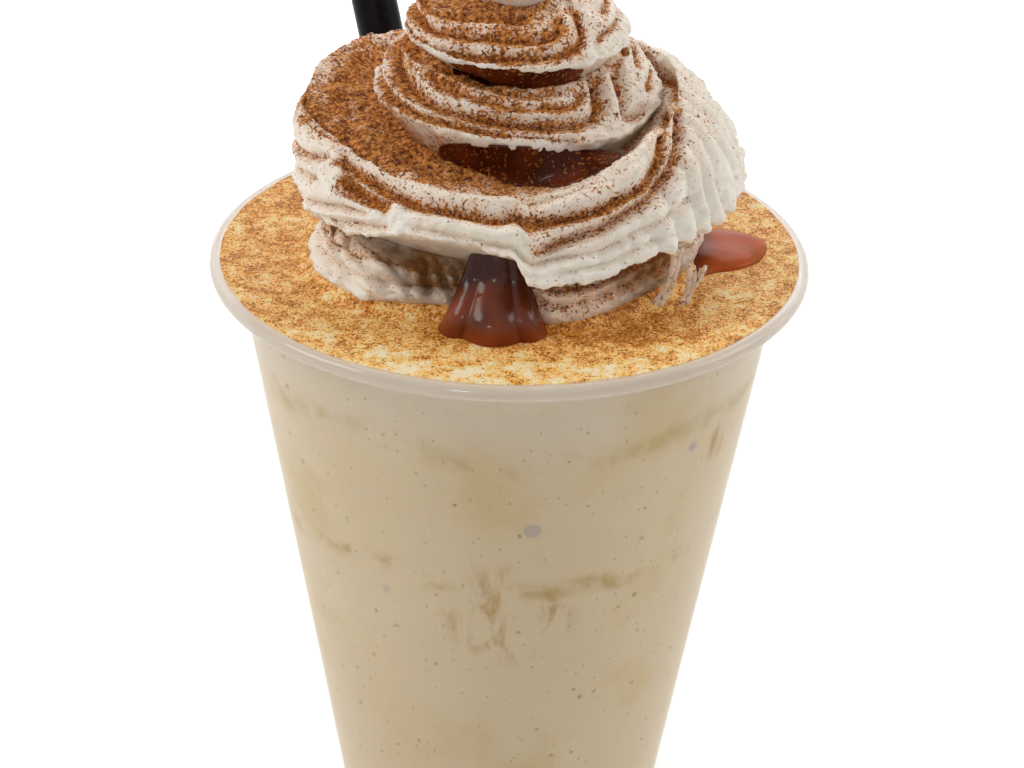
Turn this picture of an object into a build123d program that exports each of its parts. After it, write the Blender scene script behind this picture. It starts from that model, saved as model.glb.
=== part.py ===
from build123d import *
import math
import os

# A milkshake in a clear disposable cup, filled to the brim, with a piped swirl of whipped cream,
# caramel sauce in its folds and a drinking straw. Millimetres, +Z up, origin at the centre of the
# cup's base, where it stands. The front of the swirl faces -Y.

# ---- driving dimensions -------------------------------------------------------------------------
CUP_HEIGHT = 120.0        # base to the top of the rolled lip
LIP_DIAMETER = 98.0       # outside the rolled lip
LIP_BEAD = 2.5            # thickness of the rolled lip
WALL = 0.6                # thickness of the cup's wall
WALL_SLOPE = 0.1295       # how much the wall's radius grows per millimetre of height
FLARE_HEIGHT = 2.75       # height of the flare between the straight wall and the lip
FLARE_OUT = 2.2           # how far the flare carries the wall outwards
FLARE_MEETS = (200, 240)  # where the flare's inside and outside meet the round lip, in degrees
FOOT_WIDTH = 2.6          # width of the ring that the cup stands on
FOOT_ROUND = 0.8          # outer edge of that ring
FLOOR_LIFT = 2.6          # height of the raised floor's underside
FLOOR_THICKNESS = 0.8
FLOOR_ROUND = 2.0         # inner corner between floor and wall

FILL_CLEARANCE = 0.05     # between the drink and the wall, and between the drink and the straw
FILL_EDGE = 2.4           # width of the drink's rounded edge beside the lip
FILL_EDGE_DROP = 1.1      # how far that edge falls below the drink's flat top

STRAW_DIAMETER = 8.0
STRAW_WALL = 0.35
STRAW_LENGTH = 200.0
STRAW_FOOT = (7.5, 5.0)   # where the straw's axis meets the cup's floor
STRAW_LEANS_TO = 117.4    # direction from the cup's axis to the place where the straw leans
STRAW_SIDE_GAP = 0.6      # between the leaning straw and the cup's wall
STRAW_FOOT_GAP = 0.3      # between the straw's lowest point and the cup's floor

SWIRL_AXIS_X = 1.0        # the swirl stands this far along +X from the cup's axis
SWIRL_MARGIN = 7.7        # from the swirl's widest face to the edge of the drink's flat top
SWIRL_HEIGHT = 53.0       # from the drink to the tip
SWIRL_START = -630.0      # turning angle where the piped rope begins, in degrees
SWIRL_END = 1260.0        # turning angle of the tip
SWIRL_STEPS = 48          # sections of the rope in each full turn
GROOVE_DEPTH = 1.3        # depth of the grooves that the star nozzle leaves along the rope
GROOVE_SHARE = 0.12       # the same depth as a share of the face, where the rope is thin
FACE_SWELL = 0.10         # how far the outer face swells, as a share of its height
UNDER_ARCH = 0.07         # arch of the rope's underside, as a share of its width
SHOULDER_SAG = 0.07       # hollow of the rope's upper side, as a share of its width
UNDER_PARTS = 2           # facets across the underside, the face and the upper side
FACE_PARTS = 8
SHOULDER_PARTS = 4

# The rope's section at chosen turning angles: -90 is the front of the widest turn and 360 more is
# the turn above. Each row is the angle, then radius and height above the drink of the lower edge
# of the face, of its upper edge, and of the crease below the rope. The radii and the heights are
# in proportion, and are brought to the swirl's width and height above.
ROPE = [
    (-630, (30.0, 0.0), (30.0, 0.0), (30.0, 0.0)),
    (-540, (33.0, 2.5), (31.5, 6.0), (31.5, 0.0)),
    (-495, (34.5, 2.5), (32.0, 7.5), (33.0, 0.0)),
    (-450, (29.0, 3.0), (27.5, 7.0), (28.0, 0.0)),
    (-405, (30.0, 3.0), (28.5, 6.5), (29.0, 0.0)),
    (-360, (31.0, 3.0), (30.0, 6.5), (30.0, 0.0)),
    (-315, (32.5, 3.5), (32.0, 11.0), (30.5, 0.0)),
    (-270, (33.5, 4.0), (33.5, 20.0), (30.5, 0.0)),
    (-225, (35.0, 6.0), (35.5, 27.0), (30.0, 2.0)),
    (-180, (34.8, 8.0), (34.6, 24.3), (29.0, 5.0)),
    (-135, (35.0, 12.5), (30.0, 21.5), (27.0, 8.5)),
    (-90, (34.5, 12.0), (28.0, 20.0), (26.5, 8.5)),
    (-70, (34.5, 8.5), (28.0, 22.0), (26.5, 7.5)),
    (-45, (35.0, 9.5), (27.0, 26.0), (27.0, 8.0)),
    (0, (36.3, 12.0), (24.5, 29.5), (28.0, 8.5)),
    (45, (34.5, 16.0), (24.5, 30.5), (27.0, 12.5)),
    (90, (30.0, 22.5), (23.0, 31.5), (26.0, 19.0)),
    (135, (26.5, 25.5), (21.0, 33.0), (24.0, 22.5)),
    (180, (23.0, 26.5), (19.0, 33.5), (20.5, 23.5)),
    (225, (22.5, 27.0), (16.0, 32.5), (18.5, 21.0)),
    (270, (21.5, 25.8), (15.0, 32.0), (17.0, 19.0)),
    (315, (21.5, 24.8), (14.5, 32.0), (16.5, 18.5)),
    (360, (22.5, 27.0), (17.0, 33.5), (21.5, 25.0)),
    (405, (22.0, 30.0), (16.0, 36.0), (21.0, 28.0)),
    (450, (20.5, 32.0), (15.0, 38.0), (19.0, 30.0)),
    (495, (19.0, 34.0), (15.0, 39.5), (17.0, 32.0)),
    (540, (18.5, 36.0), (16.0, 41.0), (15.5, 34.0)),
    (585, (18.0, 35.8), (12.0, 40.5), (13.0, 32.5)),
    (630, (17.0, 35.5), (10.5, 40.3), (11.5, 31.5)),
    (675, (17.0, 35.5), (11.0, 41.0), (12.0, 31.5)),
    (720, (17.0, 36.5), (11.5, 42.5), (14.0, 33.0)),
    (765, (16.0, 38.0), (11.0, 43.5), (14.0, 35.5)),
    (810, (14.0, 40.0), (9.0, 45.0), (12.5, 38.0)),
    (900, (8.5, 44.0), (5.5, 48.0), (7.5, 42.5)),
    (990, (7.5, 43.5), (4.0, 48.0), (6.0, 41.5)),
    (1080, (6.5, 46.0), (3.0, 50.0), (5.5, 44.5)),
    (1170, (4.5, 48.5), (1.5, 52.0), (4.0, 47.5)),
    (1260, (0.0, 53.0), (0.0, 53.0), (0.0, 53.0)),
]

# Sauce: first and last turning angle of each pool, in steps of the rope.
FRONT_SAUCE = (-15, -10)
FRONT_SAUCE_MARGIN = 7.6  # from the tongue's tip to the edge of the drink's flat top
SIDE_SAUCE = (-3, 4)
SIDE_SAUCE_MARGIN = 0.6   # from the puddle's outer side to the edge of the drink's flat top
SIDE_SAUCE_FACETS = 4     # how many facets up the lowest turn's face it rises
LOWER_FOLD_SAUCE = (-15, -4)
UPPER_FOLD_SAUCE = (32, 41)
FOLD_FACETS = 3           # facets of the upper side that the sauce in a fold covers
FOLD_DIP = 0.3            # how far the sauce's surface dips in a fold

# ---- sizes worked out from them -----------------------------------------------------------------
LIP_RADIUS = LIP_DIAMETER / 2 - LIP_BEAD / 2
LIP_Z = CUP_HEIGHT - LIP_BEAD / 2
WALL_TOP_Z = CUP_HEIGHT - LIP_BEAD - FLARE_HEIGHT
WALL_TOP_RADIUS = LIP_RADIUS - LIP_BEAD / 2 - FLARE_OUT
FLOOR_Z = FLOOR_LIFT + FLOOR_THICKNESS
FILL_RIM_RADIUS = LIP_RADIUS - LIP_BEAD / 2 - 2 * FILL_CLEARANCE
FILL_FLAT_RADIUS = FILL_RIM_RADIUS - FILL_EDGE
SWIRL_STEP = 360 / SWIRL_STEPS
SWIRL_WIDTH_SCALE = (FILL_FLAT_RADIUS - SWIRL_MARGIN) / max(low[0] for _, low, _, _ in ROPE)
SWIRL_HEIGHT_SCALE = SWIRL_HEIGHT / ROPE[-1][1][1]
FACETS = UNDER_PARTS + FACE_PARTS + SHOULDER_PARTS


def wall_radius(z, inset=0.0):
    """Radius of the cup's straight wall at height z, this far inside its outer face."""
    return WALL_TOP_RADIUS - WALL_SLOPE * (WALL_TOP_Z - z) - inset


def lip_point(degrees):
    """A point on the round lip's section."""
    angle = math.radians(degrees)
    bead = LIP_BEAD / 2
    return (LIP_RADIUS + bead * math.cos(angle), LIP_Z + bead * math.sin(angle))


def revolved(outline):
    """The solid that a closed outline in radius and height makes about the cup's axis."""
    return revolve(Plane.XZ * make_face(outline), Axis.Z)


def inner_side(inset, rim):
    """Floor, rounded corner, wall and flare, from the axis up to the point rim."""
    corner_z = FLOOR_Z + FLOOR_ROUND
    corner_radius = wall_radius(corner_z, inset)
    up = (WALL_SLOPE, 1.0)
    floor_end = (corner_radius - FLOOR_ROUND, FLOOR_Z)
    wall_end = (wall_radius(WALL_TOP_Z, inset), WALL_TOP_Z)
    return [
        Line((0, FLOOR_Z), floor_end),
        TangentArc(floor_end, (corner_radius, corner_z), tangent=(1, 0)),
        Line((corner_radius, corner_z), wall_end),
        TangentArc(wall_end, rim, tangent=up),
    ]


def make_cup():
    """Thin tapered wall with a rolled lip, standing on a ring under its raised floor."""
    inside_meets, outside_meets = FLARE_MEETS
    foot_outer = wall_radius(FOOT_ROUND)
    foot_inner = wall_radius(0) - FOOT_WIDTH
    foot_edge = (wall_radius(0) - FOOT_ROUND, 0)
    wall_end = (WALL_TOP_RADIUS, WALL_TOP_Z)
    across = (inside_meets + outside_meets + 360) / 2
    outline = inner_side(WALL, lip_point(inside_meets)) + [
        ThreePointArc(lip_point(inside_meets), lip_point(across), lip_point(outside_meets)),
        TangentArc(wall_end, lip_point(outside_meets), tangent=(WALL_SLOPE, 1.0)),
        Line((foot_outer, FOOT_ROUND), wall_end),
        TangentArc(foot_edge, (foot_outer, FOOT_ROUND), tangent=(1, 0)),
        Line((foot_inner, 0), foot_edge),
        Line((foot_inner - FLOOR_LIFT / 2, FLOOR_LIFT), (foot_inner, 0)),
        Line((0, FLOOR_LIFT), (foot_inner - FLOOR_LIFT / 2, FLOOR_LIFT)),
        Line((0, FLOOR_LIFT), (0, FLOOR_Z)),
    ]
    return revolved(Wire(outline))


def straw_axis():
    """The straw's lower end and its direction, from its foot to its place against the wall."""
    foot = Vector(*STRAW_FOOT, FLOOR_Z)
    away = math.radians(STRAW_LEANS_TO)
    half_width = STRAW_DIAMETER / 2
    for _ in range(3):
        reach = wall_radius(WALL_TOP_Z, WALL + STRAW_SIDE_GAP) - half_width
        top = Vector(reach * math.cos(away), reach * math.sin(away), WALL_TOP_Z)
        direction = (top - foot).normalized()
        half_width = STRAW_DIAMETER / 2 / direction.Z
    tilt = math.acos(direction.Z)
    lift = (STRAW_DIAMETER / 2 * math.sin(tilt) + STRAW_FOOT_GAP) / direction.Z
    return foot + direction * lift, direction


def straw_tube(clearance):
    """The straw's tube, with its wall thickened by a clearance on every side."""
    start, direction = straw_axis()
    start = start - direction * clearance
    plane = Plane(origin=start, z_dir=direction)
    length = STRAW_LENGTH + 2 * clearance
    radius = STRAW_DIAMETER / 2
    outer = extrude(plane * Circle(radius + clearance), length)
    inner = extrude(plane * Circle(radius - STRAW_WALL - clearance), length)
    return outer - inner


def make_drink():
    """Everything inside the cup up to its brim, cut round the straw's wall."""
    flare_end = (FILL_RIM_RADIUS, lip_point(FLARE_MEETS[0])[1] - FILL_CLEARANCE)
    edge_low = (FILL_RIM_RADIUS, CUP_HEIGHT - FILL_EDGE_DROP)
    edge_high = (FILL_FLAT_RADIUS, CUP_HEIGHT)
    outline = inner_side(WALL + FILL_CLEARANCE, flare_end) + [
        Line(flare_end, edge_low),
        TangentArc(edge_high, edge_low, tangent=(1, 0)),
        Line((0, CUP_HEIGHT), edge_high),
        Line((0, FLOOR_Z), (0, CUP_HEIGHT)),
    ]
    return revolved(Wire(outline)) - straw_tube(FILL_CLEARANCE)


def between(rows, angle, pick):
    """Value of one entry of the rope's table at an angle, on a smooth curve through its rows."""
    if angle >= rows[-1][0]:
        return pick(rows[-1])
    low = max(n for n in range(len(rows) - 1) if rows[n][0] <= angle)

    def slope(n):
        if n in (0, len(rows) - 1):
            return 0.0
        before = (pick(rows[n]) - pick(rows[n - 1])) / (rows[n][0] - rows[n - 1][0])
        after = (pick(rows[n + 1]) - pick(rows[n])) / (rows[n + 1][0] - rows[n][0])
        return 2 * before * after / (before + after) if before * after > 0 else 0.0

    span = rows[low + 1][0] - rows[low][0]
    t = (angle - rows[low][0]) / span
    start, end = pick(rows[low]), pick(rows[low + 1])
    lead, trail = slope(low) * span, slope(low + 1) * span
    rise = t * t * (3 - 2 * t)
    return start + (end - start) * rise + t * (1 - t) * (lead * (1 - t) - trail * t)


def rope_point(angle, which):
    """Radius and height of edge 1 or 2 of the rope's face, or of crease 3, at a turning angle."""
    radius, height = (between(ROPE, angle, lambda row: row[which][n]) for n in (0, 1))
    return radius * SWIRL_WIDTH_SCALE, height * SWIRL_HEIGHT_SCALE


def rope_section(angle):
    """The rope's outline from the crease below it to the crease above it."""
    below, above = rope_point(angle, 3), rope_point(angle + 360, 3)
    low, high = rope_point(angle, 1), rope_point(angle, 2)
    height = math.dist(low, high)
    normal = ((high[1] - low[1]) / max(height, 1e-9), (low[0] - high[0]) / max(height, 1e-9))
    groove = min(GROOVE_DEPTH, GROOVE_SHARE * height)

    def on(start, end, share):
        return [start[n] + (end[n] - start[n]) * share for n in (0, 1)]

    arch = UNDER_ARCH * math.dist(below, low)
    sag = SHOULDER_SAG * math.dist(high, above)
    section = []
    for n in range(UNDER_PARTS):
        radius, z = on(below, low, n / UNDER_PARTS)
        section.append((radius, z + arch * math.sin(math.pi * n / UNDER_PARTS)))
    for n in range(FACE_PARTS):
        share = n / FACE_PARTS
        radius, z = on(low, high, share)
        out = FACE_SWELL * height * math.sin(math.pi * share)
        out -= groove * (0.5 - 0.5 * math.cos(4 * math.pi * share))
        section.append((radius + out * normal[0], z + out * normal[1]))
    for n in range(SHOULDER_PARTS):
        radius, z = on(high, above, n / SHOULDER_PARTS)
        section.append((radius, z - sag * math.sin(math.pi * n / SHOULDER_PARTS)))
    return section + [above]


def place(angle, point):
    """A point of a section, in the part's frame."""
    turn = math.radians(angle)
    x = SWIRL_AXIS_X + point[0] * math.cos(turn)
    return Vector(x, point[0] * math.sin(turn), CUP_HEIGHT + point[1])


def skin(columns):
    """Triangles between neighbouring columns of points, without those that have no width."""
    triangles = []
    for left, right in zip(columns, columns[1:]):
        for n in range(len(left) - 1):
            for corners in ((left[n], right[n], right[n + 1]), (left[n], right[n + 1], left[n + 1])):
                sides = [(corners[m] - corners[m - 1]).length for m in range(3)]
                if min(sides) > 1e-6:
                    triangles.append(corners)
    return triangles


def faceted(polygons):
    """The solid inside flat polygons; two polygons on the same corners cancel each other."""
    seen = {}
    for corners in polygons:
        key = frozenset((round(p.X, 5), round(p.Y, 5), round(p.Z, 5)) for p in corners)
        if seen.pop(key, None) is None:
            seen[key] = corners
    return Solid(Shell([Face(Wire.make_polygon(corners, close=True)) for corners in seen.values()]))


def make_cream():
    """One rope of cream, piped round from the drink's surface up to the tip."""
    steps = round((SWIRL_END - SWIRL_START) / SWIRL_STEP)
    angles = [SWIRL_START + n * SWIRL_STEP for n in range(steps + 1)]
    columns = [[place(angle, point) for point in rope_section(angle)] for angle in angles]
    # The rope starts and ends in a point, and each turn's upper crease is the next turn's lower one.
    columns[0] = [columns[SWIRL_STEPS][0]] * (FACETS + 1)
    columns[-1] = [columns[-1][-1]] * (FACETS + 1)
    for n in range(1, steps):
        next_turn = n + SWIRL_STEPS
        columns[n][-1] = columns[next_turn][0] if next_turn < steps else columns[-1][-1]
    floor = [columns[n][0] for n in range(SWIRL_STEPS, 0, -1)]
    return faceted(skin(columns) + [floor])


def make_sauce(ends, chain, free_surface):
    """Sauce that lies against the cream along a chain of points and ends in a free surface."""
    first, last = ends
    against, free = [], []
    for step in range(first, last + 1):
        angle = step * SWIRL_STEP
        inner = chain(angle)
        share = (step - first) / (last - first)
        swell = math.sin(math.pi * share) if first < step < last else 0.0
        outer = free_surface(inner, swell) if swell else inner
        against.append([place(angle, point) for point in inner])
        free.append([place(angle, point) for point in outer])
    floor = [[inner[0], outer[0]] for inner, outer in zip(against, free)]
    return faceted(skin(against) + skin(free) + skin(floor))


def base_and_underside(angle):
    """The lowest turn's whole face, then the middle of the underside of the turn above it."""
    return rope_section(angle - 360) + [rope_section(angle)[1]]


def fold(angle):
    """The upper side of one turn next to the crease, then the underside of the next turn."""
    return rope_section(angle)[FACETS - FOLD_FACETS:] + [rope_section(angle + 360)[1]]


def base_foot(angle):
    """The lowest turn's face, a few facets up from the drink."""
    return rope_section(angle - 360)[:SIDE_SAUCE_FACETS + 1]


def mixed(inner, target, amounts):
    """Points part of the way from the cream to a target, each by its own amount."""
    pairs = zip(inner, target, amounts)
    return [(p[0] + (q[0] - p[0]) * share, p[1] + (q[1] - p[1]) * share) for p, q, share in pairs]


def front_surface(inner, swell):
    """A tongue of sauce that runs steeply down and out over the drink, narrower at its top."""
    top, count = inner[-1], len(inner) - 1
    shares = [n / count for n in range(count + 1)]
    quarter = [math.pi / 2 * share for share in shares]
    reach = FILL_FLAT_RADIUS - FRONT_SAUCE_MARGIN - top[0]
    target = [(top[0] + reach * math.cos(turn), top[1] * math.sin(turn)) for turn in quarter]
    return mixed(inner, target[:-1] + [top], [swell ** (0.5 + share) for share in shares])


def side_surface(inner, swell):
    """A low puddle with a rounded edge."""
    top, count = inner[-1], len(inner) - 1
    widest = FILL_FLAT_RADIUS - SWIRL_AXIS_X - SIDE_SAUCE_MARGIN
    reach = inner[0][0] + (widest - inner[0][0]) * swell
    shares = [n / count for n in range(count + 1)]
    return [(reach + (top[0] - reach) * share ** 1.5, top[1] * share ** 0.6) for share in shares]


def fold_surface(inner, swell):
    """A nearly level surface from one side of a fold to the other."""
    low, high, count = inner[0], inner[-1], len(inner) - 1
    target = []
    for n in range(count + 1):
        share = n / count
        dip = FOLD_DIP * math.sin(math.pi * share)
        target.append((low[0] + (high[0] - low[0]) * share, low[1] + (high[1] - low[1]) * share - dip))
    return mixed(inner, target, [swell ** 0.5] * (count + 1))


os.makedirs("parts", exist_ok=True)
parts = {
    "cup": make_cup(),
    "milkshake": make_drink(),
    "straw": straw_tube(0),
    "whipped_cream": make_cream(),
    "sauce_front": make_sauce(FRONT_SAUCE, base_and_underside, front_surface),
    "sauce_side": make_sauce(SIDE_SAUCE, base_foot, side_surface),
    "sauce_lower_fold": make_sauce(LOWER_FOLD_SAUCE, fold, fold_surface),
    "sauce_upper_fold": make_sauce(UPPER_FOLD_SAUCE, fold, fold_surface),
}
for name, solid in parts.items():
    export_step(solid, f"parts/{name}.step")
    print(name, round(solid.volume, 1), solid.is_valid)
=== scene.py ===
import math

import bpy
import numpy as np
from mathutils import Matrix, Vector, kdtree, noise


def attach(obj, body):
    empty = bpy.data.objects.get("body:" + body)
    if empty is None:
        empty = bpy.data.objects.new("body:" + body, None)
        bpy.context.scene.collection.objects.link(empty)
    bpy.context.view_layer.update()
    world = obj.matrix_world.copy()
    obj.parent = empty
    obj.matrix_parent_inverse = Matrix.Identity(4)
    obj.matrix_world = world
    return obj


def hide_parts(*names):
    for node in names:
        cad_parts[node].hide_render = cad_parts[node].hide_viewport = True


# A milkshake in a clear disposable cup, with a piped swirl of whipped cream, caramel sauce, ground
# cinnamon and a black straw. The scene is in metres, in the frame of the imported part. Tables of a
# piece's sizes are in millimetres, and sizes inside a material are in metres.
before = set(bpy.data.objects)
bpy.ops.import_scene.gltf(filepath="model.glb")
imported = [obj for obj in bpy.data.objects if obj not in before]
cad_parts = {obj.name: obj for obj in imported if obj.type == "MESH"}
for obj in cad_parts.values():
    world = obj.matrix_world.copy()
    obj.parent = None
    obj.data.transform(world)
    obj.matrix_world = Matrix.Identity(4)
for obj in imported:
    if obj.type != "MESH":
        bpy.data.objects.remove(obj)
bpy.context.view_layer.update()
MM = 0.001

# ---- Camera, floor and light --------------------------------------------------------------------
# The view looks down on the rim from the front. The floor and the room are white, and the room is
# brighter behind and beside the cup than in front of it.
CAMERA_PLACE = (0.0, -0.253344, 0.237984)
CAMERA_TURN = (60.212, -1.1642, 0.4641)     # degrees about X, Y and Z
CAMERA_LENS = 59.34                         # mm on a 36 mm sensor
FLOOR_SIDE = 6.0                            # m
# Each lamp: name, place, width in metres and power in watts.
LAMPS = [
    ("key_light", (-0.95, -0.15, 0.95), 0.60, 5.6),
    ("fill_light", (1.05, 0.05, 0.75), 0.70, 4.3),
    ("back_light", (0.15, 0.95, 0.95), 0.90, 3.4),
    ("front_light", (-0.25, -0.90, 0.60), 0.20, 1.15),
]
LOOKED_AT = Vector((0.0, 0.0, 0.11))
ROOM_FRONT = 0.12                           # light from the camera's side of the room
ROOM_BACK = 0.70                            # light from the sides and from behind
CARD_GLOW = 0.35                            # the card's own light, to the eye only
WHITE = (1.0, 1.0, 1.0, 1.0)
# Kinds of node that come up again and again, and settings of theirs. A range node is given a value,
# the ends that the value runs between, and what comes out at each end.
MATH, MIX, RANGE = "ShaderNodeMath", "ShaderNodeMix", "ShaderNodeMapRange"
NOISE = "ShaderNodeTexNoise"
SMOOTH = {"interpolation_type": "SMOOTHSTEP"}
RGBA, FLOAT = {"data_type": "RGBA"}, {"data_type": "FLOAT"}
MAXIMUM, MULTIPLY = {"operation": "MAXIMUM"}, {"operation": "MULTIPLY"}


def linear(hex_colour):
    """The linear colour for an sRGB one written as RRGGBB."""
    parts = [int(hex_colour[n:n + 2], 16) / 255 for n in (0, 2, 4)]
    return tuple(p / 12.92 if p <= 0.04045 else ((p + 0.055) / 1.055) ** 2.4 for p in parts) + (1.0,)


def add(tree, kind, settings=None, inputs=None):
    """A new node with its settings. Its inputs are given by name or number, or as a list in order. An
    input that is a socket, or a node whose first output in use is meant, is linked, and any other is
    a value."""
    made = tree.nodes.new(kind)
    for name, value in (settings or {}).items():
        setattr(made, name, value)
    inputs = dict(enumerate(inputs)) if isinstance(inputs, list) else inputs or {}
    for name, value in inputs.items():
        if isinstance(value, bpy.types.Node):
            value = next(output for output in value.outputs if output.enabled)
        if isinstance(value, bpy.types.NodeSocket):
            tree.links.new(value, made.inputs[name])
        else:
            made.inputs[name].default_value = value
    return made


def new_material(name):
    """An empty node material and its tree."""
    made = bpy.data.materials.new(name)
    made.use_nodes = True
    made.node_tree.nodes.clear()
    return made, made.node_tree


def seen_rays(tree):
    """1 for rays that bring a background to the eye: straight, mirrored or through something clear."""
    path = add(tree, "ShaderNodeLightPath").outputs
    seen = add(tree, MATH, MAXIMUM, [path["Is Camera Ray"], path["Is Glossy Ray"]])
    return add(tree, MATH, MAXIMUM, [seen, path["Is Transmission Ray"]])


def mesh_piece(name, points, faces, materials=(), smooth=True):
    """A piece with this name from points in metres and faces."""
    mesh = bpy.data.meshes.new(name)
    mesh.from_pydata([tuple(p) for p in points], [], [tuple(f) for f in faces])
    mesh.update()
    for made in materials:
        mesh.materials.append(made)
    mesh.polygons.foreach_set("use_smooth", [smooth] * len(mesh.polygons))
    piece = bpy.data.objects.new(name, mesh)
    bpy.context.scene.collection.objects.link(piece)
    return piece


camera_data = bpy.data.cameras.new("camera")
camera_data.lens = CAMERA_LENS
camera_data.sensor_width = 36.0
camera_data.clip_start = 0.01
camera = bpy.data.objects.new("camera", camera_data)
camera.location = CAMERA_PLACE
camera.rotation_euler = [math.radians(turn) for turn in CAMERA_TURN]
bpy.context.scene.collection.objects.link(camera)
bpy.context.scene.camera = camera
bpy.context.scene.view_settings.view_transform = "Standard"

for name, place, size, power in LAMPS:
    lamp_data = bpy.data.lights.new(name, "AREA")
    lamp_data.shape = "DISK"
    lamp_data.size = size
    lamp_data.energy = power
    lamp = bpy.data.objects.new(name, lamp_data)
    lamp.location = place
    lamp.rotation_euler = (LOOKED_AT - Vector(place)).to_track_quat("-Z", "Y").to_euler()
    bpy.context.scene.collection.objects.link(lamp)

world = bpy.data.worlds.new("white_room")
world.use_nodes = True
room = world.node_tree
room.nodes.clear()
direction = add(room, "ShaderNodeTexCoord").outputs["Generated"]
towards = add(room, "ShaderNodeSeparateXYZ", None, [direction])
light_side = add(room, RANGE, SMOOTH, [towards.outputs["Y"], -0.9, 0.5, ROOM_FRONT, ROOM_BACK])
strength = add(room, MIX, FLOAT, {0: seen_rays(room), 2: light_side, 3: 1.0})
background = add(room, "ShaderNodeBackground", None, {"Color": WHITE, "Strength": strength})
add(room, "ShaderNodeOutputWorld", None, {"Surface": background})
bpy.context.scene.world = world

# White card under the cup: matt, and bright enough to the eye to join the white room.
card, tree = new_material("matt_white_card")
grain = add(tree, NOISE, None, {"Scale": 60.0, "Detail": 3.0})
paper = add(tree, MIX, RGBA, {0: grain, 6: linear("F1F1F1"), 7: linear("F6F6F6")})
matt = add(tree, "ShaderNodeBsdfDiffuse", None, {"Color": paper})
lift = add(tree, MATH, MULTIPLY, [seen_rays(tree), CARD_GLOW])
glow = add(tree, "ShaderNodeEmission", None, {"Color": WHITE, "Strength": lift})
both = add(tree, "ShaderNodeAddShader", None, [matt, glow])
add(tree, "ShaderNodeOutputMaterial", None, {"Surface": both})
half = FLOOR_SIDE / 2
floor = mesh_piece("floor", [(-half, -half, 0), (half, -half, 0), (half, half, 0), (-half, half, 0)],
                   [(0, 1, 2, 3)], [card])

# ---- Clear cup ----------------------------------------------------------------------------------
# Thermoformed PET, clear with a faint warm cast, with a thin wall and a rolled lip. It is smooth
# and a little wavy from the mould, and a film of drink lies on its lip.
LIP_FILM = (0.1135, 0.1175)   # heights between which the film comes in
FILM_COVER = 0.45             # share of the lip that it covers
CLEAR_SHARE = 0.55            # share of light that passes the thin wall straight
clear_pet, tree = new_material("clear_thermoformed_pet")
place = add(tree, "ShaderNodeTexCoord").outputs["Object"]
waves = add(tree, NOISE, None, {"Vector": place, "Scale": 120.0, "Detail": 2.0})
rubbed = add(tree, RANGE, None, [waves, 0.3, 0.7, 0.03, 0.09])
wavy = add(tree, "ShaderNodeBump", None, {"Height": waves, "Strength": 0.15, "Distance": 0.0004})
pet = add(tree, "ShaderNodeBsdfPrincipled", None, {
    "Base Color": linear("EEE7DF"), "Roughness": rubbed, "IOR": 1.5,
    "Transmission Weight": 1.0, "Normal": wavy})
path = add(tree, "ShaderNodeLightPath")
let_by = add(tree, "ShaderNodeBsdfTransparent", None, {"Color": linear("FAFAFA")})
lamp_ray = add(tree, MATH, MAXIMUM, [path.outputs["Is Shadow Ray"], path.outputs["Is Diffuse Ray"]])
thin_wall = add(tree, MATH, MAXIMUM, [lamp_ray, CLEAR_SHARE])
wall = add(tree, "ShaderNodeMixShader", None, [thin_wall, pet, let_by])
# A film of drink dulls the rolled lip and the flare below it.
height = add(tree, "ShaderNodeSeparateXYZ", None, [place]).outputs["Z"]
filmed = add(tree, RANGE, SMOOTH, [height, LIP_FILM[0], LIP_FILM[1], 0.0, FILM_COVER])
film_tint = add(tree, MIX, RGBA, {0: waves, 6: linear("EBDCCB"), 7: linear("F8EFE4")})
film = add(tree, "ShaderNodeBsdfPrincipled", None, {
    "Base Color": film_tint, "Roughness": 0.12, "IOR": 1.45, "Normal": wavy})
wall = add(tree, "ShaderNodeMixShader", None, [filmed, wall, film])
add(tree, "ShaderNodeOutputMaterial", None, {"Surface": wall})
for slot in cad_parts["cup"].material_slots:
    slot.material = clear_pet

# ---- Straw --------------------------------------------------------------------------------------
# Extruded black polypropylene tube, with a low gloss and very faint marks from the die. It stands in
# the drink behind the swirl.
black_pp, tree = new_material("black_extruded_polypropylene")
place = add(tree, "ShaderNodeTexCoord").outputs["Object"]
lines = add(tree, NOISE, None, {"Vector": place, "Scale": 900.0, "Detail": 2.0})
shade = add(tree, MIX, RGBA, {0: lines, 6: linear("070505"), 7: linear("0E0B0A")})
worn = add(tree, RANGE, None, [lines, 0.3, 0.7, 0.22, 0.34])
drawn = add(tree, "ShaderNodeBump", None, {"Height": lines, "Strength": 0.1, "Distance": 0.0001})
plastic = add(tree, "ShaderNodeBsdfPrincipled", None, {
    "Base Color": shade, "Roughness": worn, "IOR": 1.49, "Specular IOR Level": 0.08,
    "Normal": drawn})
add(tree, "ShaderNodeOutputMaterial", None, {"Surface": plastic})
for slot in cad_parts["straw"].material_slots:
    slot.material = black_pp

# ---- Milkshake ----------------------------------------------------------------------------------
# Blended ice cream and milk with ground spice in it, filled to the brim. Its side shows through the
# cup's wall, and its top is a fine foam with cinnamon soaked into it.
CUP_TOP = 120.0          # top of the lip and of the drink
WALL_SLOPE = 0.1295      # growth of the wall's radius for each millimetre of height
INNER_FLOOR = 3.4        # height of the cup's floor inside
INNER_CORNER = 2.0
INNER_TOP = (43.7, 114.75)   # the wall's inside where it starts to flare
INNER_LIP = (46.5, 118.4)    # the flare's inside at the lip
INTO_WALL = 0.25         # how far the drink reaches into the wall
FOAM_FLAT = 45.8         # radius of the foam's level part
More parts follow.
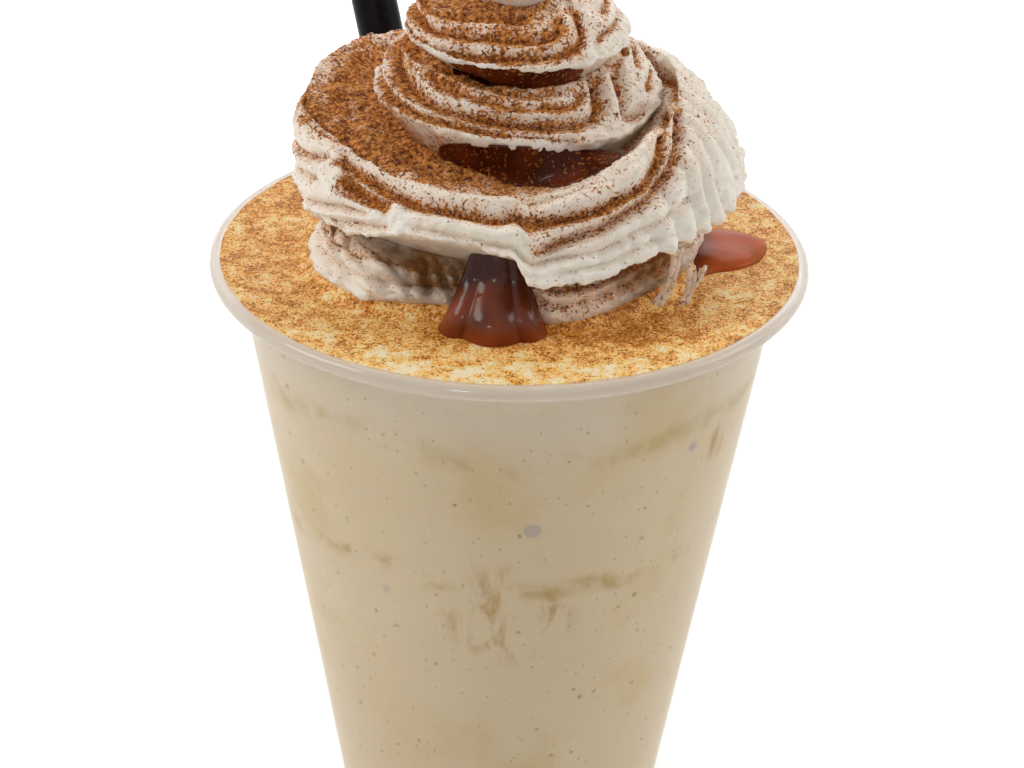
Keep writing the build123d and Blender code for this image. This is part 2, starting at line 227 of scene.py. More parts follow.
# The foam's edge, which has crept a little way onto the lip, as radius and height.
FOAM_EDGE = [(46.9, 118.9), (47.15, 119.35), (47.3, 119.7), (47.25, 119.95), (46.95, 120.05),
             (46.4, 120.04), (FOAM_FLAT, CUP_TOP)]
AXIS_X = 1.0             # the swirl stands this far along +X from the cup's axis
# The swirl's foot, as degrees round from +X and radius; the foam stands a little higher against it.
SWIRL_FOOT = [(-180, 34.6), (-150, 35.4), (-137, 34.8), (-122, 31.4), (-110, 28.9), (-90, 28.9),
              (-77, 32.2), (-45, 30.0), (0, 31.2), (45, 32.8), (90, 33.8), (135, 34.8), (180, 34.6)]
FOAM_RISE = 1.5
FOAM_BAND = (118.6, 119.6)   # heights between which the side becomes foam
TURNS = 480              # points round the drink
FOAM_RINGS, WALL_RINGS = 74, 70
# Marks on the drink's side, in metres. Rings where it was topped up: height, half width, strength.
RINGS = [(0.0775, 0.0028, 0.66), (0.1035, 0.0034, 0.42)]
# Upright smears of spice: middle and reach.
SMEARS = [((0.001, -0.0385, 0.0725), 0.013), ((0.034, -0.024, 0.098), 0.005),
          ((-0.020, 0.034, 0.082), 0.010), ((-0.036, -0.008, 0.060), 0.007)]
RING_WAVER = 0.014       # how far a ring wanders up and down
BUBBLE_PLACE = (0.0043, -0.0400, 0.0905)
# Specks of spice and small bubbles: cells in a metre, radius in cells, share left out, colour.
SPECKS = [(300.0, 0.150, 0.70, "AE8E5C"), (130.0, 0.090, 0.62, "B09468"), (62.0, 0.085, 0.60, "BEAEA6"),
          (700.0, 0.20, 0.62, "B89C6A")]
SUBTRACT, MULTIPLY_ADD = {"operation": "SUBTRACT"}, {"operation": "MULTIPLY_ADD"}


def cloud(points, size, seed):
    """Soft noise between -1 and 1 at points in millimetres, with lumps of this size."""
    shift = Vector((seed * 17.3, seed * 5.1, seed * 9.7))
    return np.array([noise.noise(Vector(p) / size + shift) for p in points])


def step_up(value, low, high):
    """0 below low, 1 above high, and a smooth rise between them."""
    share = np.clip((np.asarray(value, float) - low) / (high - low), 0, 1)
    return share * share * (3 - 2 * share)


def store(piece, name, values):
    """Keeps one number for each point of a piece's mesh, for materials and sprinkling."""
    kept = piece.data.attributes.new(name, "FLOAT", "POINT")
    kept.data.foreach_set("value", np.asarray(values, np.float32).ravel())


def covered(tree, grain, share, bare, full, soft_from, soft_to):
    """Where cinnamon shows: the grain's noise over a level that falls from bare to full with the share."""
    level = add(tree, RANGE, None, [share, 0.0, 1.0, bare, full])
    over = add(tree, MATH, SUBTRACT, [grain, level])
    return add(tree, RANGE, None, [over, soft_from, soft_to, 0.0, 1.0])


def set_stops(ramp_node, stops):
    """Gives a colour ramp its stops, each a place and a colour, in order."""
    elements = ramp_node.color_ramp.elements
    elements[0].position, elements[1].position = stops[0][0], stops[-1][0]
    for place, _ in stops[1:-1]:
        elements.new(place)
    for element, (_, hex_colour) in zip(elements, stops):
        element.color = linear(hex_colour)


def ring_faces(columns, rows, closed_columns=True, closed_rows=False):
    """Quads between the points of a grid that is stored column by column."""
    across = rows if closed_rows else rows - 1
    along = columns if closed_columns else columns - 1
    c, r = np.meshgrid(np.arange(along), np.arange(across), indexing="ij")
    here, beside = c * rows + r, ((c + 1) % columns) * rows + r
    up_here, up_beside = c * rows + (r + 1) % rows, ((c + 1) % columns) * rows + (r + 1) % rows
    return np.stack([here, beside, up_beside, up_here], -1).reshape(-1, 4).tolist()


corner_z = INNER_FLOOR + INNER_CORNER
corner_r = INNER_TOP[0] - WALL_SLOPE * (INNER_TOP[1] - corner_z)
outline = [(corner_r - INNER_CORNER, INNER_FLOOR - INTO_WALL)]
for share in np.linspace(0.15, 1.0, 6):
    turn = share * math.pi / 2
    outline.append((corner_r - INNER_CORNER + (INNER_CORNER + INTO_WALL) * math.sin(turn),
                    corner_z - (INNER_CORNER + INTO_WALL) * math.cos(turn)))
for share in np.linspace(0, 1, WALL_RINGS)[1:]:
    z = corner_z + (INNER_TOP[1] - corner_z) * share
    outline.append((INNER_TOP[0] - WALL_SLOPE * (INNER_TOP[1] - z) + INTO_WALL, z))
for share in np.linspace(0, 1, 8)[1:]:
    z = INNER_TOP[1] + (INNER_LIP[1] - INNER_TOP[1]) * share
    widen = (INNER_LIP[0] - INNER_TOP[0] - WALL_SLOPE * (INNER_LIP[1] - INNER_TOP[1])) * share ** 2
    outline.append((INNER_TOP[0] + WALL_SLOPE * (z - INNER_TOP[1]) + widen + INTO_WALL, z))
outline += FOAM_EDGE
for share in np.linspace(0, 1, FOAM_RINGS)[1:-1]:
    outline.append((FOAM_FLAT * (1 - share), CUP_TOP))
outline = np.array(outline)
turn = np.arange(TURNS) * 2 * math.pi / TURNS
shake = np.stack([np.outer(np.cos(turn), outline[:, 0]), np.outer(np.sin(turn), outline[:, 0]),
                  np.broadcast_to(outline[:, 1], (TURNS, len(outline)))], -1).reshape(-1, 3)
faces = ring_faces(TURNS, len(outline))
shake = np.vstack([shake, [(0, 0, INNER_FLOOR - INTO_WALL), (0, 0, CUP_TOP)]])
rows = len(outline)
for n in range(TURNS):
    after = (n + 1) % TURNS
    faces.append((after * rows, n * rows, TURNS * rows))
    faces.append((n * rows + rows - 1, after * rows + rows - 1, TURNS * rows + 1))
reach = np.hypot(shake[:, 0], shake[:, 1])
on_top = step_up(shake[:, 2], *FOAM_BAND)
foam_only = np.flatnonzero(on_top > 0)
lumps = np.zeros(len(shake))
lumps[foam_only] = 0.16 * cloud(shake[foam_only], 4.0, 1) + 0.09 * cloud(shake[foam_only], 1.3, 2)
shake[:, 2] += (lumps - 0.05) * on_top
from_swirl = np.hypot(shake[:, 0] - AXIS_X, shake[:, 1])
foot = np.interp(np.degrees(np.arctan2(shake[:, 1], shake[:, 0] - AXIS_X)), *np.array(SWIRL_FOOT).T)
foot = foot + 0.8 * np.where(on_top > 0, cloud(shake, 3.0, 17), 0)
shake[:, 2] += FOAM_RISE * on_top * (1 - step_up(from_swirl, foot - 1.2, foot + 1.4))

# Cinnamon lies thinnest along the front edge, and thickest before the swirl's foot.
patches = np.zeros(len(shake))
patches[foam_only] = cloud(shake[foam_only], 9.0, 3) + 0.6 * cloud(shake[foam_only], 3.2, 4)
front_edge = step_up(-shake[:, 1], 28, 44) * step_up(reach, 34, 44)
right_edge = step_up(shake[:, 0], 28, 40) * step_up(-shake[:, 1], -10, 25)
near_swirl = 1 - step_up(np.hypot(shake[:, 0] - 12, shake[:, 1] + 26), 6, 16)
soaked = 0.53 - 0.28 * front_edge - 0.02 * right_edge + 0.28 * near_swirl + 0.17 * patches
soaked = np.clip(soaked, 0.03, 1) * on_top

# Blended milkshake: opaque and pale tan through the wall, with a fine, matt, golden foam on top.
shake_material, tree = new_material("blended_milkshake")
place = add(tree, "ShaderNodeTexCoord").outputs["Object"]
soak = add(tree, "ShaderNodeAttribute", {"attribute_name": "soaked"}).outputs["Fac"]
top = add(tree, "ShaderNodeAttribute", {"attribute_name": "on_top"}).outputs["Fac"]
drift = add(tree, NOISE, None, {"Vector": place, "Scale": 28.0, "Detail": 3.0, "Distortion": 0.6})
body = add(tree, MIX, RGBA, {0: drift, 6: linear("DDC59B"), 7: linear("E9D5B3")})
height = add(tree, "ShaderNodeSeparateXYZ", None, [place]).outputs["Z"]
pale_top = add(tree, RANGE, SMOOTH, [height, 0.100, 0.112, 0.0, 0.45])
body = add(tree, MIX, RGBA, {0: pale_top, 6: body, 7: linear("E3D8C8")})
yellower = add(tree, NOISE, None, {"Vector": place, "Scale": 45.0, "Detail": 4.0, "Roughness": 0.6})
yellower = add(tree, RANGE, SMOOTH, [yellower, 0.48, 0.68, 0.0, 0.45])
body = add(tree, MIX, RGBA, {0: yellower, 6: body, 7: linear("D4B56C")})
# Two faint rings where the drink was topped up, wavering by a few millimetres and broken.
waver = add(tree, NOISE, None, {"Vector": place, "Scale": 42.0, "Detail": 3.0})
patchy = add(tree, NOISE, None, {"Vector": place, "Scale": 75.0, "Detail": 4.0, "Roughness": 0.7})
for ring_height, half_width, strength in RINGS:
    level = add(tree, MATH, MULTIPLY_ADD, [waver, RING_WAVER, height])
    apart = add(tree, MATH, SUBTRACT, [level, ring_height + RING_WAVER / 2])
    apart = add(tree, MATH, {"operation": "ABSOLUTE"}, [apart])
    ring = add(tree, RANGE, SMOOTH, [apart, 0.0, half_width, strength, 0.0])
    broken = add(tree, RANGE, SMOOTH, [patchy, 0.42, 0.62, 0.0, 1.0])
    ring = add(tree, MATH, MULTIPLY, [ring, broken])
    body = add(tree, MIX, RGBA, {0: ring, 6: body, 7: linear("B4901C")})
# Short runs of spice hanging below the lower ring, in upright smears.
upright = add(tree, "ShaderNodeVectorMath", MULTIPLY, [place, (1.0, 1.0, 0.35)])
smear = add(tree, NOISE, None, {
    "Vector": upright, "Scale": 150.0, "Detail": 4.0, "Roughness": 0.65, "Distortion": 0.5})
smear = add(tree, RANGE, SMOOTH, [smear, 0.47, 0.62, 0.0, 0.75])
for smear_place, smear_size in SMEARS:
    away = add(tree, "ShaderNodeVectorMath", {"operation": "DISTANCE"}, [place, smear_place])
    near = add(tree, RANGE, SMOOTH, [away.outputs["Value"], smear_size * 0.4, smear_size, 1.0, 0.0])
    near = add(tree, MATH, MULTIPLY, [near, smear])
    body = add(tree, MIX, RGBA, {0: near, 6: body, 7: linear("B48008")})
# One flat bubble against the wall at the front.
away = add(tree, "ShaderNodeVectorMath", {"operation": "DISTANCE"}, [place, BUBBLE_PLACE])
bubble = add(tree, RANGE, SMOOTH, [away.outputs["Value"], 0.0012, 0.0018, 0.7, 0.0])
body = add(tree, MIX, RGBA, {0: bubble, 6: body, 7: linear("BBACA6")})
# Specks of spice against the wall, a little out of round, and a few bubbles.
uneven = add(tree, NOISE, None, {"Vector": place, "Scale": 900.0, "Detail": 2.0})
uneven = add(tree, "ShaderNodeVectorMath", MULTIPLY_ADD, [
    uneven.outputs["Color"], (0.0008, 0.0008, 0.0008), place])
for cells, radius, share, tint in SPECKS:
    speck = add(tree, "ShaderNodeTexVoronoi", None, {"Vector": uneven, "Scale": cells})
    inside = add(tree, RANGE, None, [speck.outputs["Distance"], radius * 0.3, radius, 1.0, 0.0])
    chosen = add(tree, "ShaderNodeSeparateColor", None, [speck.outputs["Color"]])
    few = add(tree, MATH, {"operation": "GREATER_THAN"}, [chosen, share])
    inside = add(tree, MATH, MULTIPLY, [inside, few])
    body = add(tree, MIX, RGBA, {0: inside, 6: body, 7: linear(tint)})
# The foam: pale to orange in soft clumps, with brown grains of spice where more has soaked in.
fine = add(tree, NOISE, None, {"Vector": place, "Scale": 1900.0, "Detail": 3.0, "Roughness": 0.6})
grains = add(tree, NOISE, None, {"Vector": place, "Scale": 2500.0, "Detail": 2.0})
clumps = add(tree, NOISE, None, {"Vector": place, "Scale": 430.0, "Detail": 4.0, "Roughness": 0.7})
clumps = add(tree, MATH, MULTIPLY_ADD, [clumps, 2.6, -1.3])
clumps = add(tree, MATH, {"operation": "ADD", "use_clamp": True}, [clumps, soak])
dark = covered(tree, grains, clumps, 0.68, 0.38, 0.0, 0.06)
foam_colour = add(tree, "ShaderNodeValToRGB", None, [clumps])
set_stops(foam_colour, [(0.0, "FFEBC8"), (0.28, "FFCB70"), (0.60, "FAA83C"), (1.0, "D8802A")])
bright = add(tree, RANGE, None, [fine, 0.44, 0.64, 0.0, 0.7])
mottled = add(tree, MIX, RGBA, {0: bright, 6: foam_colour, 7: linear("FFEBB4")})
tone = add(tree, NOISE, None, {"Vector": place, "Scale": 1900.0, "Detail": 2.0})
spice = add(tree, "ShaderNodeValToRGB", None, [tone])
set_stops(spice, [(0.36, "7E400C"), (0.62, "DC8E26")])
foam = add(tree, MIX, RGBA, {0: dark, 6: mottled, 7: spice})
colour = add(tree, MIX, RGBA, {0: top, 6: body, 7: foam})
pitted = add(tree, "ShaderNodeBump", None, {"Height": fine, "Strength": 0.6, "Distance": 0.0003})
wet = add(tree, RANGE, None, [fine, 0.3, 0.7, 0.42, 0.62])
drink = add(tree, "ShaderNodeBsdfPrincipled", None, {
    "Base Color": colour, "Roughness": wet, "IOR": 1.36,
    "Subsurface Weight": 0.25, "Subsurface Radius": (1.0, 0.7, 0.45), "Subsurface Scale": 0.0012,
    "Normal": pitted})
add(tree, "ShaderNodeOutputMaterial", None, {"Surface": drink})
milkshake = mesh_piece("milkshake_filled", shake * MM, faces, [shake_material])
store(milkshake, "soaked", soaked)
store(milkshake, "on_top", on_top)
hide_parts("milkshake")
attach(milkshake, "root")

# ---- Whipped cream ------------------------------------------------------------------------------
# One rope of whipped cream from a star nozzle, piped round and up to a tip. The nozzle leaves ridges
# along it, the widest turn is pulled out in ruffles, and its lower edge is torn.

# Turning angle, then radius and height above the drink of the face's lower edge, of its upper edge,
# and of the crease below the rope. The front of the widest turn is -90, and +360 is the turn above.
ROPE = np.array([
    (-630, 30, 0, 30, 0, 30, 0), (-540, 33, 2.5, 31.5, 6, 31.5, 0), (-524, 33.8, 2.2, 31.5, 7, 33, 0),
    (-510, 35, 2.2, 32.5, 8, 34, 0), (-497, 34.4, 2.0, 31.5, 7.5, 33.3, 0),
    (-482, 31, 2.5, 28.5, 6, 29.5, 0), (-470, 28.5, 2.5, 27, 6, 27.5, 0), (-450, 28.5, 3, 27.5, 7, 28, 0),
    (-437, 32, 2.5, 29.5, 7, 31, 0), (-405, 29.5, 3, 28.0, 6.5, 28.5, 0), (-360, 31, 3, 30, 6.5, 30, 0),
    (-315, 32.5, 3.5, 32, 11, 30.5, 0), (-270, 33.5, 4, 33.5, 20, 30.5, 0),
    (-225, 35, 6, 35.5, 27, 30, 2), (-180, 34.8, 8, 34.6, 24.3, 29, 5),
    (-135, 35, 12.2, 30, 21.5, 27, 8.5), (-118, 34.8, 14.9, 29, 20.9, 27, 9),
    (-106, 34.8, 15.4, 28.5, 20.5, 27, 9), (-91, 34.7, 13.2, 28, 20, 26.5, 8.5),
    (-85, 34.9, 8.9, 28, 20.4, 26.5, 7.5), (-70, 34.9, 9.0, 28, 22, 26.5, 7.5),
    (-58, 35.1, 11.2, 27.5, 24.2, 26.7, 7.7), (-45, 35.3, 11.8, 27, 26, 27, 8),
    (-18, 36.2, 13.2, 25.5, 28.6, 28, 8.5), (0, 36.3, 14, 24.5, 29.5, 28, 9),
    (45, 34.5, 17, 24.5, 30.5, 27, 12.5), (90, 30, 22.5, 23, 31.5, 26, 19),
    (135, 26.5, 25.5, 21, 33, 24, 22.5), (180, 23, 26.5, 19, 33.5, 20.5, 23.5),
    (225, 22.5, 27, 16, 32.5, 18.5, 21), (270, 21.5, 25.8, 15, 32, 17, 19),
    (315, 21.5, 24.8, 14.5, 32, 16.5, 18.5), (360, 22.5, 27, 17, 33.5, 21.5, 25),
    (405, 22, 30, 16, 36, 21, 28), (450, 20.5, 32, 15, 38, 19, 30), (495, 19, 34, 15, 39.5, 17, 32),
    (540, 18.5, 36, 16, 41, 15.5, 34), (585, 18, 35.8, 12, 40.5, 13, 32.5),
    (630, 17, 35.5, 10.5, 40.3, 11.5, 31.5), (675, 17, 35.5, 11, 41, 12, 31.5),
    (720, 17, 36.5, 11.5, 42.5, 14, 33), (765, 16, 38, 11, 43.5, 14, 35.5),
    (810, 14, 40, 9, 45, 12.5, 38), (900, 8.5, 44, 5.5, 48, 7.5, 42.5), (990, 7.5, 43.5, 4, 48, 6, 41.5),
    (1080, 6.5, 46, 3, 50, 5.5, 44.5), (1170, 4.5, 48.5, 1.5, 52, 4, 47.5),
    (1260, 0, 53, 0, 53, 0, 53)], float)
# Grooves that the nozzle leaves: depth, half width and share of cinnamon in them, then turning
# angles and places across.
GROOVES = [
    (2.3, 1.1, 0.9, [
        (-150, 1.90), (-134, 1.81), (-126, 1.71), (-116, 1.57), (-100, 1.55), (-95, 1.57), (-84, 1.72),
        (-68, 1.69), (-56, 1.64), (-48, 1.74), (-39, 1.94), (-34, 2.00), (-22, 2.36), (-12, 2.58)]),
    (2.7, 1.2, 0.6, [
        (-88, 1.34), (-79, 1.47), (-68, 1.52), (-57, 1.51), (-47, 1.62), (-40, 1.71), (-29, 1.87),
        (-23, 1.99), (-4, 2.33), (21, 2.64), (60, 2.45), (100, 2.30), (140, 2.10), (180, 1.85),
        (209, 1.57), (223, 1.44), (235, 1.37), (262, 1.34), (297, 1.30), (305, 1.36), (310, 1.48),
        (313, 1.64), (318, 2.00), (330, 2.40)]),
    (1.4, 1.2, 0.1, [
        (-200, 1.90), (-183, 2.02), (-174, 2.15), (-160, 2.28), (-140, 2.25), (-128, 2.10),
        (-110, 2.08), (-90, 2.15), (-64, 2.06)]),
    (1.1, 0.6, 0.3, [(-178, 1.90), (-172, 1.96), (-162, 2.05), (-150, 2.12)]),
    (2.6, 0.8, 0.25, [
        (-300, 1.40), (-225, 1.62), (-190, 1.60), (-166, 1.62), (-154, 1.82), (-148, 1.90)]),
    (2.3, 0.8, 0.25, [(-300, 1.20), (-225, 1.42), (-190, 1.40), (-161, 1.43), (-150, 1.58)]),
    (2.2, 0.7, 0.25, [
        (-300, 1.05), (-225, 1.20), (-190, 1.17), (-162, 1.14), (-140, 1.32), (-128, 1.32)]),
    (1.9, 0.8, 0.25, [(-260, 0.90), (-190, 0.92), (-153, 1.00), (-136, 1.15), (-121, 1.12)]),
    (3.0, 2.2, 1.0, [(-146, 1.74), (-138, 1.60), (-128, 1.47), (-123, 1.40)]),
    (1.9, 1.0, 0.2, [(0, 1.50), (30, 1.50), (60, 1.45), (100, 1.30), (140, 1.15), (170, 1.05)]),
    (1.9, 1.0, 0.8, [
        (20, 2.05), (60, 1.90), (100, 1.75), (150, 1.50), (190, 1.20), (220, 1.10), (237, 1.14),
        (254, 1.14), (270, 1.06), (300, 1.02)]),
    (1.1, 0.8, 0.5, [(212, 1.95), (240, 1.76), (270, 1.62), (295, 1.60), (304, 1.75), (308, 2.10)]),
    (0.9, 0.8, 0.5, [(222, 2.40), (245, 2.15), (270, 1.88), (292, 1.86)]),
    (2.0, 0.9, 0.5, [(345, 1.00), (321, 1.22), (326, 1.43), (328, 1.66), (338, 2.10), (350, 2.50)]),
    (1.8, 1.0, 0.8, [
        (338, 1.35), (400, 1.38), (450, 1.40), (500, 1.30), (558, 1.05), (581, 1.07), (609, 1.19),
        (630, 1.21), (651, 1.24), (661, 1.33), (669, 1.44), (673, 1.62), (678, 1.96), (688, 2.47)]),
    (1.8, 0.9, 0.7, [
        (345, 1.75), (400, 1.76), (450, 1.80), (510, 1.70), (572, 1.52), (592, 1.60), (617, 1.60),
        (642, 1.62), (654, 1.68), (659, 1.87), (664, 2.49)]),
    (1.5, 0.9, 0.6, [
        (350, 2.20), (400, 2.30), (450, 2.30), (500, 2.20), (560, 1.98), (580, 2.06), (610, 2.32),
        (643, 2.29)]),
    (1.6, 0.8, 0.5, [
        (672, 1.20), (684, 1.45), (700, 1.40), (765, 1.36), (850, 1.40), (1000, 1.40), (1100, 1.50)]),
    (1.4, 0.8, 0.5, [(690, 1.75), (765, 1.76), (850, 1.80), (1000, 1.90), (1080, 2.00)]),
    (1.2, 0.8, 0.5, [(700, 2.30), (765, 2.30), (850, 2.40), (950, 2.40)]),
    (1.8, 1.1, 0.2, [(-600, 1.35), (-530, 1.45), (-495, 1.42), (-460, 1.36), (-420, 1.30), (-330, 1.30)]),
    (1.8, 1.1, 0.3, [(-590, 1.95), (-530, 2.02), (-495, 2.10), (-462, 2.15), (-420, 2.00), (-330, 1.80)]),
    (1.7, 0.7, 0.15, [
        (-120, 1.20), (-108, 1.13), (-98, 1.12), (-90, 1.20), (-82, 1.28), (-70, 1.30), (-58, 1.27),
        (-46, 1.30), (-34, 1.36)]),
    (1.3, 0.5, 0.1, [(-84, 1.10), (-76, 1.16), (-66, 1.14), (-56, 1.12), (-46, 1.16)]),
]
# Raised crests, in the same form.
CRESTS = [
    (0.8, 1.0, 0.0, [
        (-124, 1.20), (-115, 1.35), (-102, 1.26), (-94, 1.27), (-87, 1.48), (-79, 1.57), (-68, 1.61),
        (-56, 1.61), (-49, 1.71), (-41, 1.87), (-32, 1.98), (-10, 2.37), (15, 2.67)]),
    (0.7, 1.6, 0.0, [
        (-166, 1.79), (-148, 2.00), (-137, 2.00), (-124, 1.85), (-112, 1.80), (-101, 1.81), (-89, 1.87),
        (-78, 1.87), (-67, 1.82), (-57, 1.78), (-50, 1.87), (-44, 1.98), (-21, 2.46)]),
]
# Ruffles across the rope: first and last turning angle, first and last place across, length of one
# wave in degrees, waves that it leans by, and height.
RUFFLES = [
    (-56, 75, 0.80, 2.00, 7.2, 0.4, 1.30),
    (-112, -62, 0.80, 1.25, 7.5, 0.3, 0.35),
    (-225, -150, 0.70, 1.60, 9.0, 0.5, 0.50),
    (-534, -480, 0.80, 2.60, 12.0, 1.3, 1.70),
    (-484, -452, 0.90, 2.90, 5.0, 0.9, 1.90),
    (-448, -384, 0.80, 2.90, 7.0, 0.3, 0.90),
    (-46, 62, 1.30, 2.40, 12.0, -1.0, 0.50),
]
# How thickly the cinnamon lies: turning angle, then hundredths at places 0, 0.9, 1.2, 1.6, 1.95, 2.3
# and 3 across. It fell from above and from the left. From 180 to 290 it also lies thick on the
# underside, where it is partly painted shade under the next turn's lip.
DUSTING_PLACES = np.array([0.0, 0.9, 1.2, 1.6, 1.95, 2.3, 3.0])
DUSTING_AND_SHADE = np.array([
    (-630, 10, 10, 15, 20, 20, 20, 20), (-530, 10, 5, 8, 20, 45, 55, 55),
    (-480, 20, 5, 8, 10, 15, 15, 15), (-435, 40, 34, 38, 42, 42, 40, 40),
    (-375, 30, 25, 25, 30, 30, 30, 30), (-300, 10, 8, 12, 15, 25, 30, 30),
    (-225, 20, 8, 12, 35, 80, 95, 95), (-180, 30, 10, 20, 45, 85, 100, 95),
    (-150, 30, 10, 16, 30, 45, 100, 100), (-125, 20, 8, 12, 40, 38, 85, 100),
    (-100, 15, 5, 10, 40, 38, 62, 100), (-70, 15, 5, 6, 34, 36, 45, 80),
    (-40, 15, 6, 8, 28, 36, 42, 50), (-10, 12, 5, 10, 22, 36, 42, 45), (40, 12, 5, 8, 15, 25, 36, 45),
    (90, 10, 6, 10, 15, 25, 40, 50), (135, 10, 8, 12, 25, 45, 60, 60),
    (180, 60, 20, 45, 75, 85, 90, 90), (215, 100, 80, 80, 80, 85, 90, 95),
    (236, 100, 60, 45, 76, 82, 88, 92), (250, 95, 20, 50, 72, 80, 85, 90),
    (290, 50, 8, 42, 64, 70, 75, 80), (320, 20, 10, 30, 42, 45, 50, 50),
    (350, 20, 10, 20, 30, 35, 40, 40), (450, 10, 10, 15, 25, 35, 50, 50),
    (540, 40, 20, 55, 78, 85, 90, 90), (600, 30, 8, 62, 82, 86, 88, 88),
    (650, 20, 8, 55, 74, 80, 80, 80), (690, 20, 10, 25, 35, 40, 40, 40),
    (810, 10, 10, 20, 30, 40, 50, 50), (960, 30, 20, 50, 70, 70, 70, 70),
    (1020, 30, 20, 45, 60, 60, 60, 60), (1260, 20, 20, 40, 50, 50, 50, 50)], float)
DUSTING_AND_SHADE[:, 1:] /= 100
# Where drink and syrup have soaked into the cream, in the same form. Under the wide turn's overhang,
# on the base's hollow and on its column near -400, this dark is partly painted shade.
SOAKED_AND_SHADE = np.array([
    (-630, 30, 10, 0, 0, 0, 10, 20), (-505, 0, 0, 0, 0, 0, 10, 50), (-490, 10, 0, 0, 10, 40, 100, 100),
    (-476, 50, 30, 60, 100, 100, 100, 100), (-460, 60, 50, 80, 100, 100, 100, 100),
    (-441, 20, 0, 0, 0, 20, 60, 100), (-428, 20, 0, 0, 10, 30, 70, 100),
    (-418, 50, 40, 50, 70, 100, 100, 100), (-402, 100, 100, 100, 100, 100, 100, 100),
    (-375, 40, 20, 20, 30, 30, 40, 50), (-300, 20, 0, 0, 0, 0, 10, 10), (-165, 20, 0, 0, 0, 0, 0, 30),
    (-140, 40, 0, 0, 0, 0, 0, 100), (-110, 60, 0, 0, 0, 0, 10, 100), (-80, 60, 0, 0, 0, 0, 10, 100),
    (-55, 50, 0, 0, 0, 0, 10, 80), (-20, 30, 0, 0, 0, 0, 0, 0), (200, 40, 0, 0, 0, 0, 0, 20),
    (235, 60, 0, 0, 0, 0, 10, 80), (290, 60, 0, 0, 0, 0, 20, 80), (320, 30, 0, 0, 0, 0, 10, 20),
    (400, 0, 0, 0, 0, 0, 0, 0)], float)
SOAKED_AND_SHADE[:, 1:] /= 100
# Each length of the rope: name, first and last turning angle, degrees for each step, points across,
# and height of the lumps in it.
LENGTHS = [
    ("whipped_cream_base", -630, -224, 1.0, 64, 1.0),
    ("whipped_cream_wide_turn", -225, 91, 0.6, 132, 0.25),
    ("whipped_cream_upper_turns", 90, 1260, 1.5, 110, 0.25),
]
HEAP_HEIGHT = 1.3        # lumps where the cinnamon lies thick
# How far each part of the rope's outline bulges, as a share of its length.
UNDER_ARCH, SHOULDER_SAG, FACE_SWELL = 0.07, 0.07, 0.10
CORE_SHARE = 0.45        # the rope's inner side, as a share of the crease's radius
UNROLLED_STEP = 3.0      # degrees
MARK_STEP, MARK_FADE = 0.3, 5.0   # between marks on a line, and the length over which its ends fade


def along(table, angles):
    """Each column of a table of stations at these angles, on smooth curves without overshoot."""
    places, values = table[:, 0], table[:, 1:]
    gaps = np.diff(places)[:, None]
    rise = np.diff(values, axis=0) / gaps
    slope = np.zeros_like(values)
    both = rise[:-1] * rise[1:]
    total = np.where(np.abs(rise[:-1] + rise[1:]) > 1e-9, rise[:-1] + rise[1:], 1.0)
    slope[1:-1] = np.where(both > 0, 2 * both / total, 0.0)
    angles = np.clip(angles, places[0], places[-1])
    n = np.clip(np.searchsorted(places, angles, side="right") - 1, 0, len(places) - 2)
    span = (places[n + 1] - places[n])[:, None]
    t = ((angles - places[n]) / span[:, 0])[:, None]
    lead, trail = slope[n] * span, slope[n + 1] * span
    blend = t * t * (3 - 2 * t)
    return values[n] + (values[n + 1] - values[n]) * blend + t * (1 - t) * (lead * (1 - t) - trail * t)


def rope_outline(angles, across):
    """Radius and height across the rope at each angle, from the crease below to the crease above.
    across runs from 0 to 1 on the underside, to 2 on the face and to 3 on the upper side."""
    here, next_turn = along(ROPE, angles), along(ROPE, np.asarray(angles) + 360)
    low, high, below, above = here[:, 0:2], here[:, 2:4], here[:, 4:6], next_turn[:, 4:6]
    corners = np.stack([below, low, high, above], 1)
    part = np.clip(across.astype(int), 0, 2)
    share = across - part
    points = corners[:, part] + (corners[:, part + 1] - corners[:, part]) * share[None, :, None]
    length = np.linalg.norm(corners[:, part + 1] - corners[:, part], axis=2)
    bulge = np.choose(part, [UNDER_ARCH, FACE_SWELL, -SHOULDER_SAG])[None] * length
    heading = (corners[:, part + 1] - corners[:, part]) / np.maximum(length, 1e-6)[..., None]
    outward = np.stack([heading[..., 1], -heading[..., 0]], -1)
    outward = np.where((part == 1)[None, :, None], outward, np.array([0.0, 1.0]))
    return points + outward * (bulge * np.sin(np.pi * share)[None])[..., None]


def tube_faces(columns, rows):
    """Faces of a closed tube stored ring by ring: quads round it, and one face at each end."""
    faces = ring_faces(columns, rows, closed_columns=False, closed_rows=True)
    faces.append(tuple(range(rows))[::-1])
    faces.append(tuple((columns - 1) * rows + n for n in range(rows)))
    return faces


def rope_length(first, last, step, count):
    """A closed length of the rope: its points in millimetres, and its angle and place across."""
    angles = np.linspace(first, last, round((last - first) / step) + 1)
    across = np.concatenate([np.linspace(0, 1, count // 6, endpoint=False),
                             np.linspace(1, 2, count // 2, endpoint=False),
                             np.linspace(2, 3, count - count // 6 - count // 2)])
    section = rope_outline(angles, across)
    for _ in range(4):
        section[:, 1:-1] = (section[:, :-2] + 2 * section[:, 1:-1] + section[:, 2:]) / 4
    turn = np.radians(angles)[:, None]
    core = np.stack([section[:, -1] * (CORE_SHARE, 1.0), section[:, 0] * (CORE_SHARE, 1.0)], 1)
    section = np.concatenate([section, core], 1)
    points = np.stack([AXIS_X + section[..., 0] * np.cos(turn), section[..., 0] * np.sin(turn),
                       CUP_TOP + section[..., 1]], -1)
    across = np.concatenate([across, [3.0, 0.0]])
    return points, angles, across


def from_table(table, angles, across):
    """A share from a table of places across the rope, for each angle and each place across."""
    rows = along(table, angles)
    return np.stack([np.interp(across, DUSTING_PLACES, row) for row in rows])


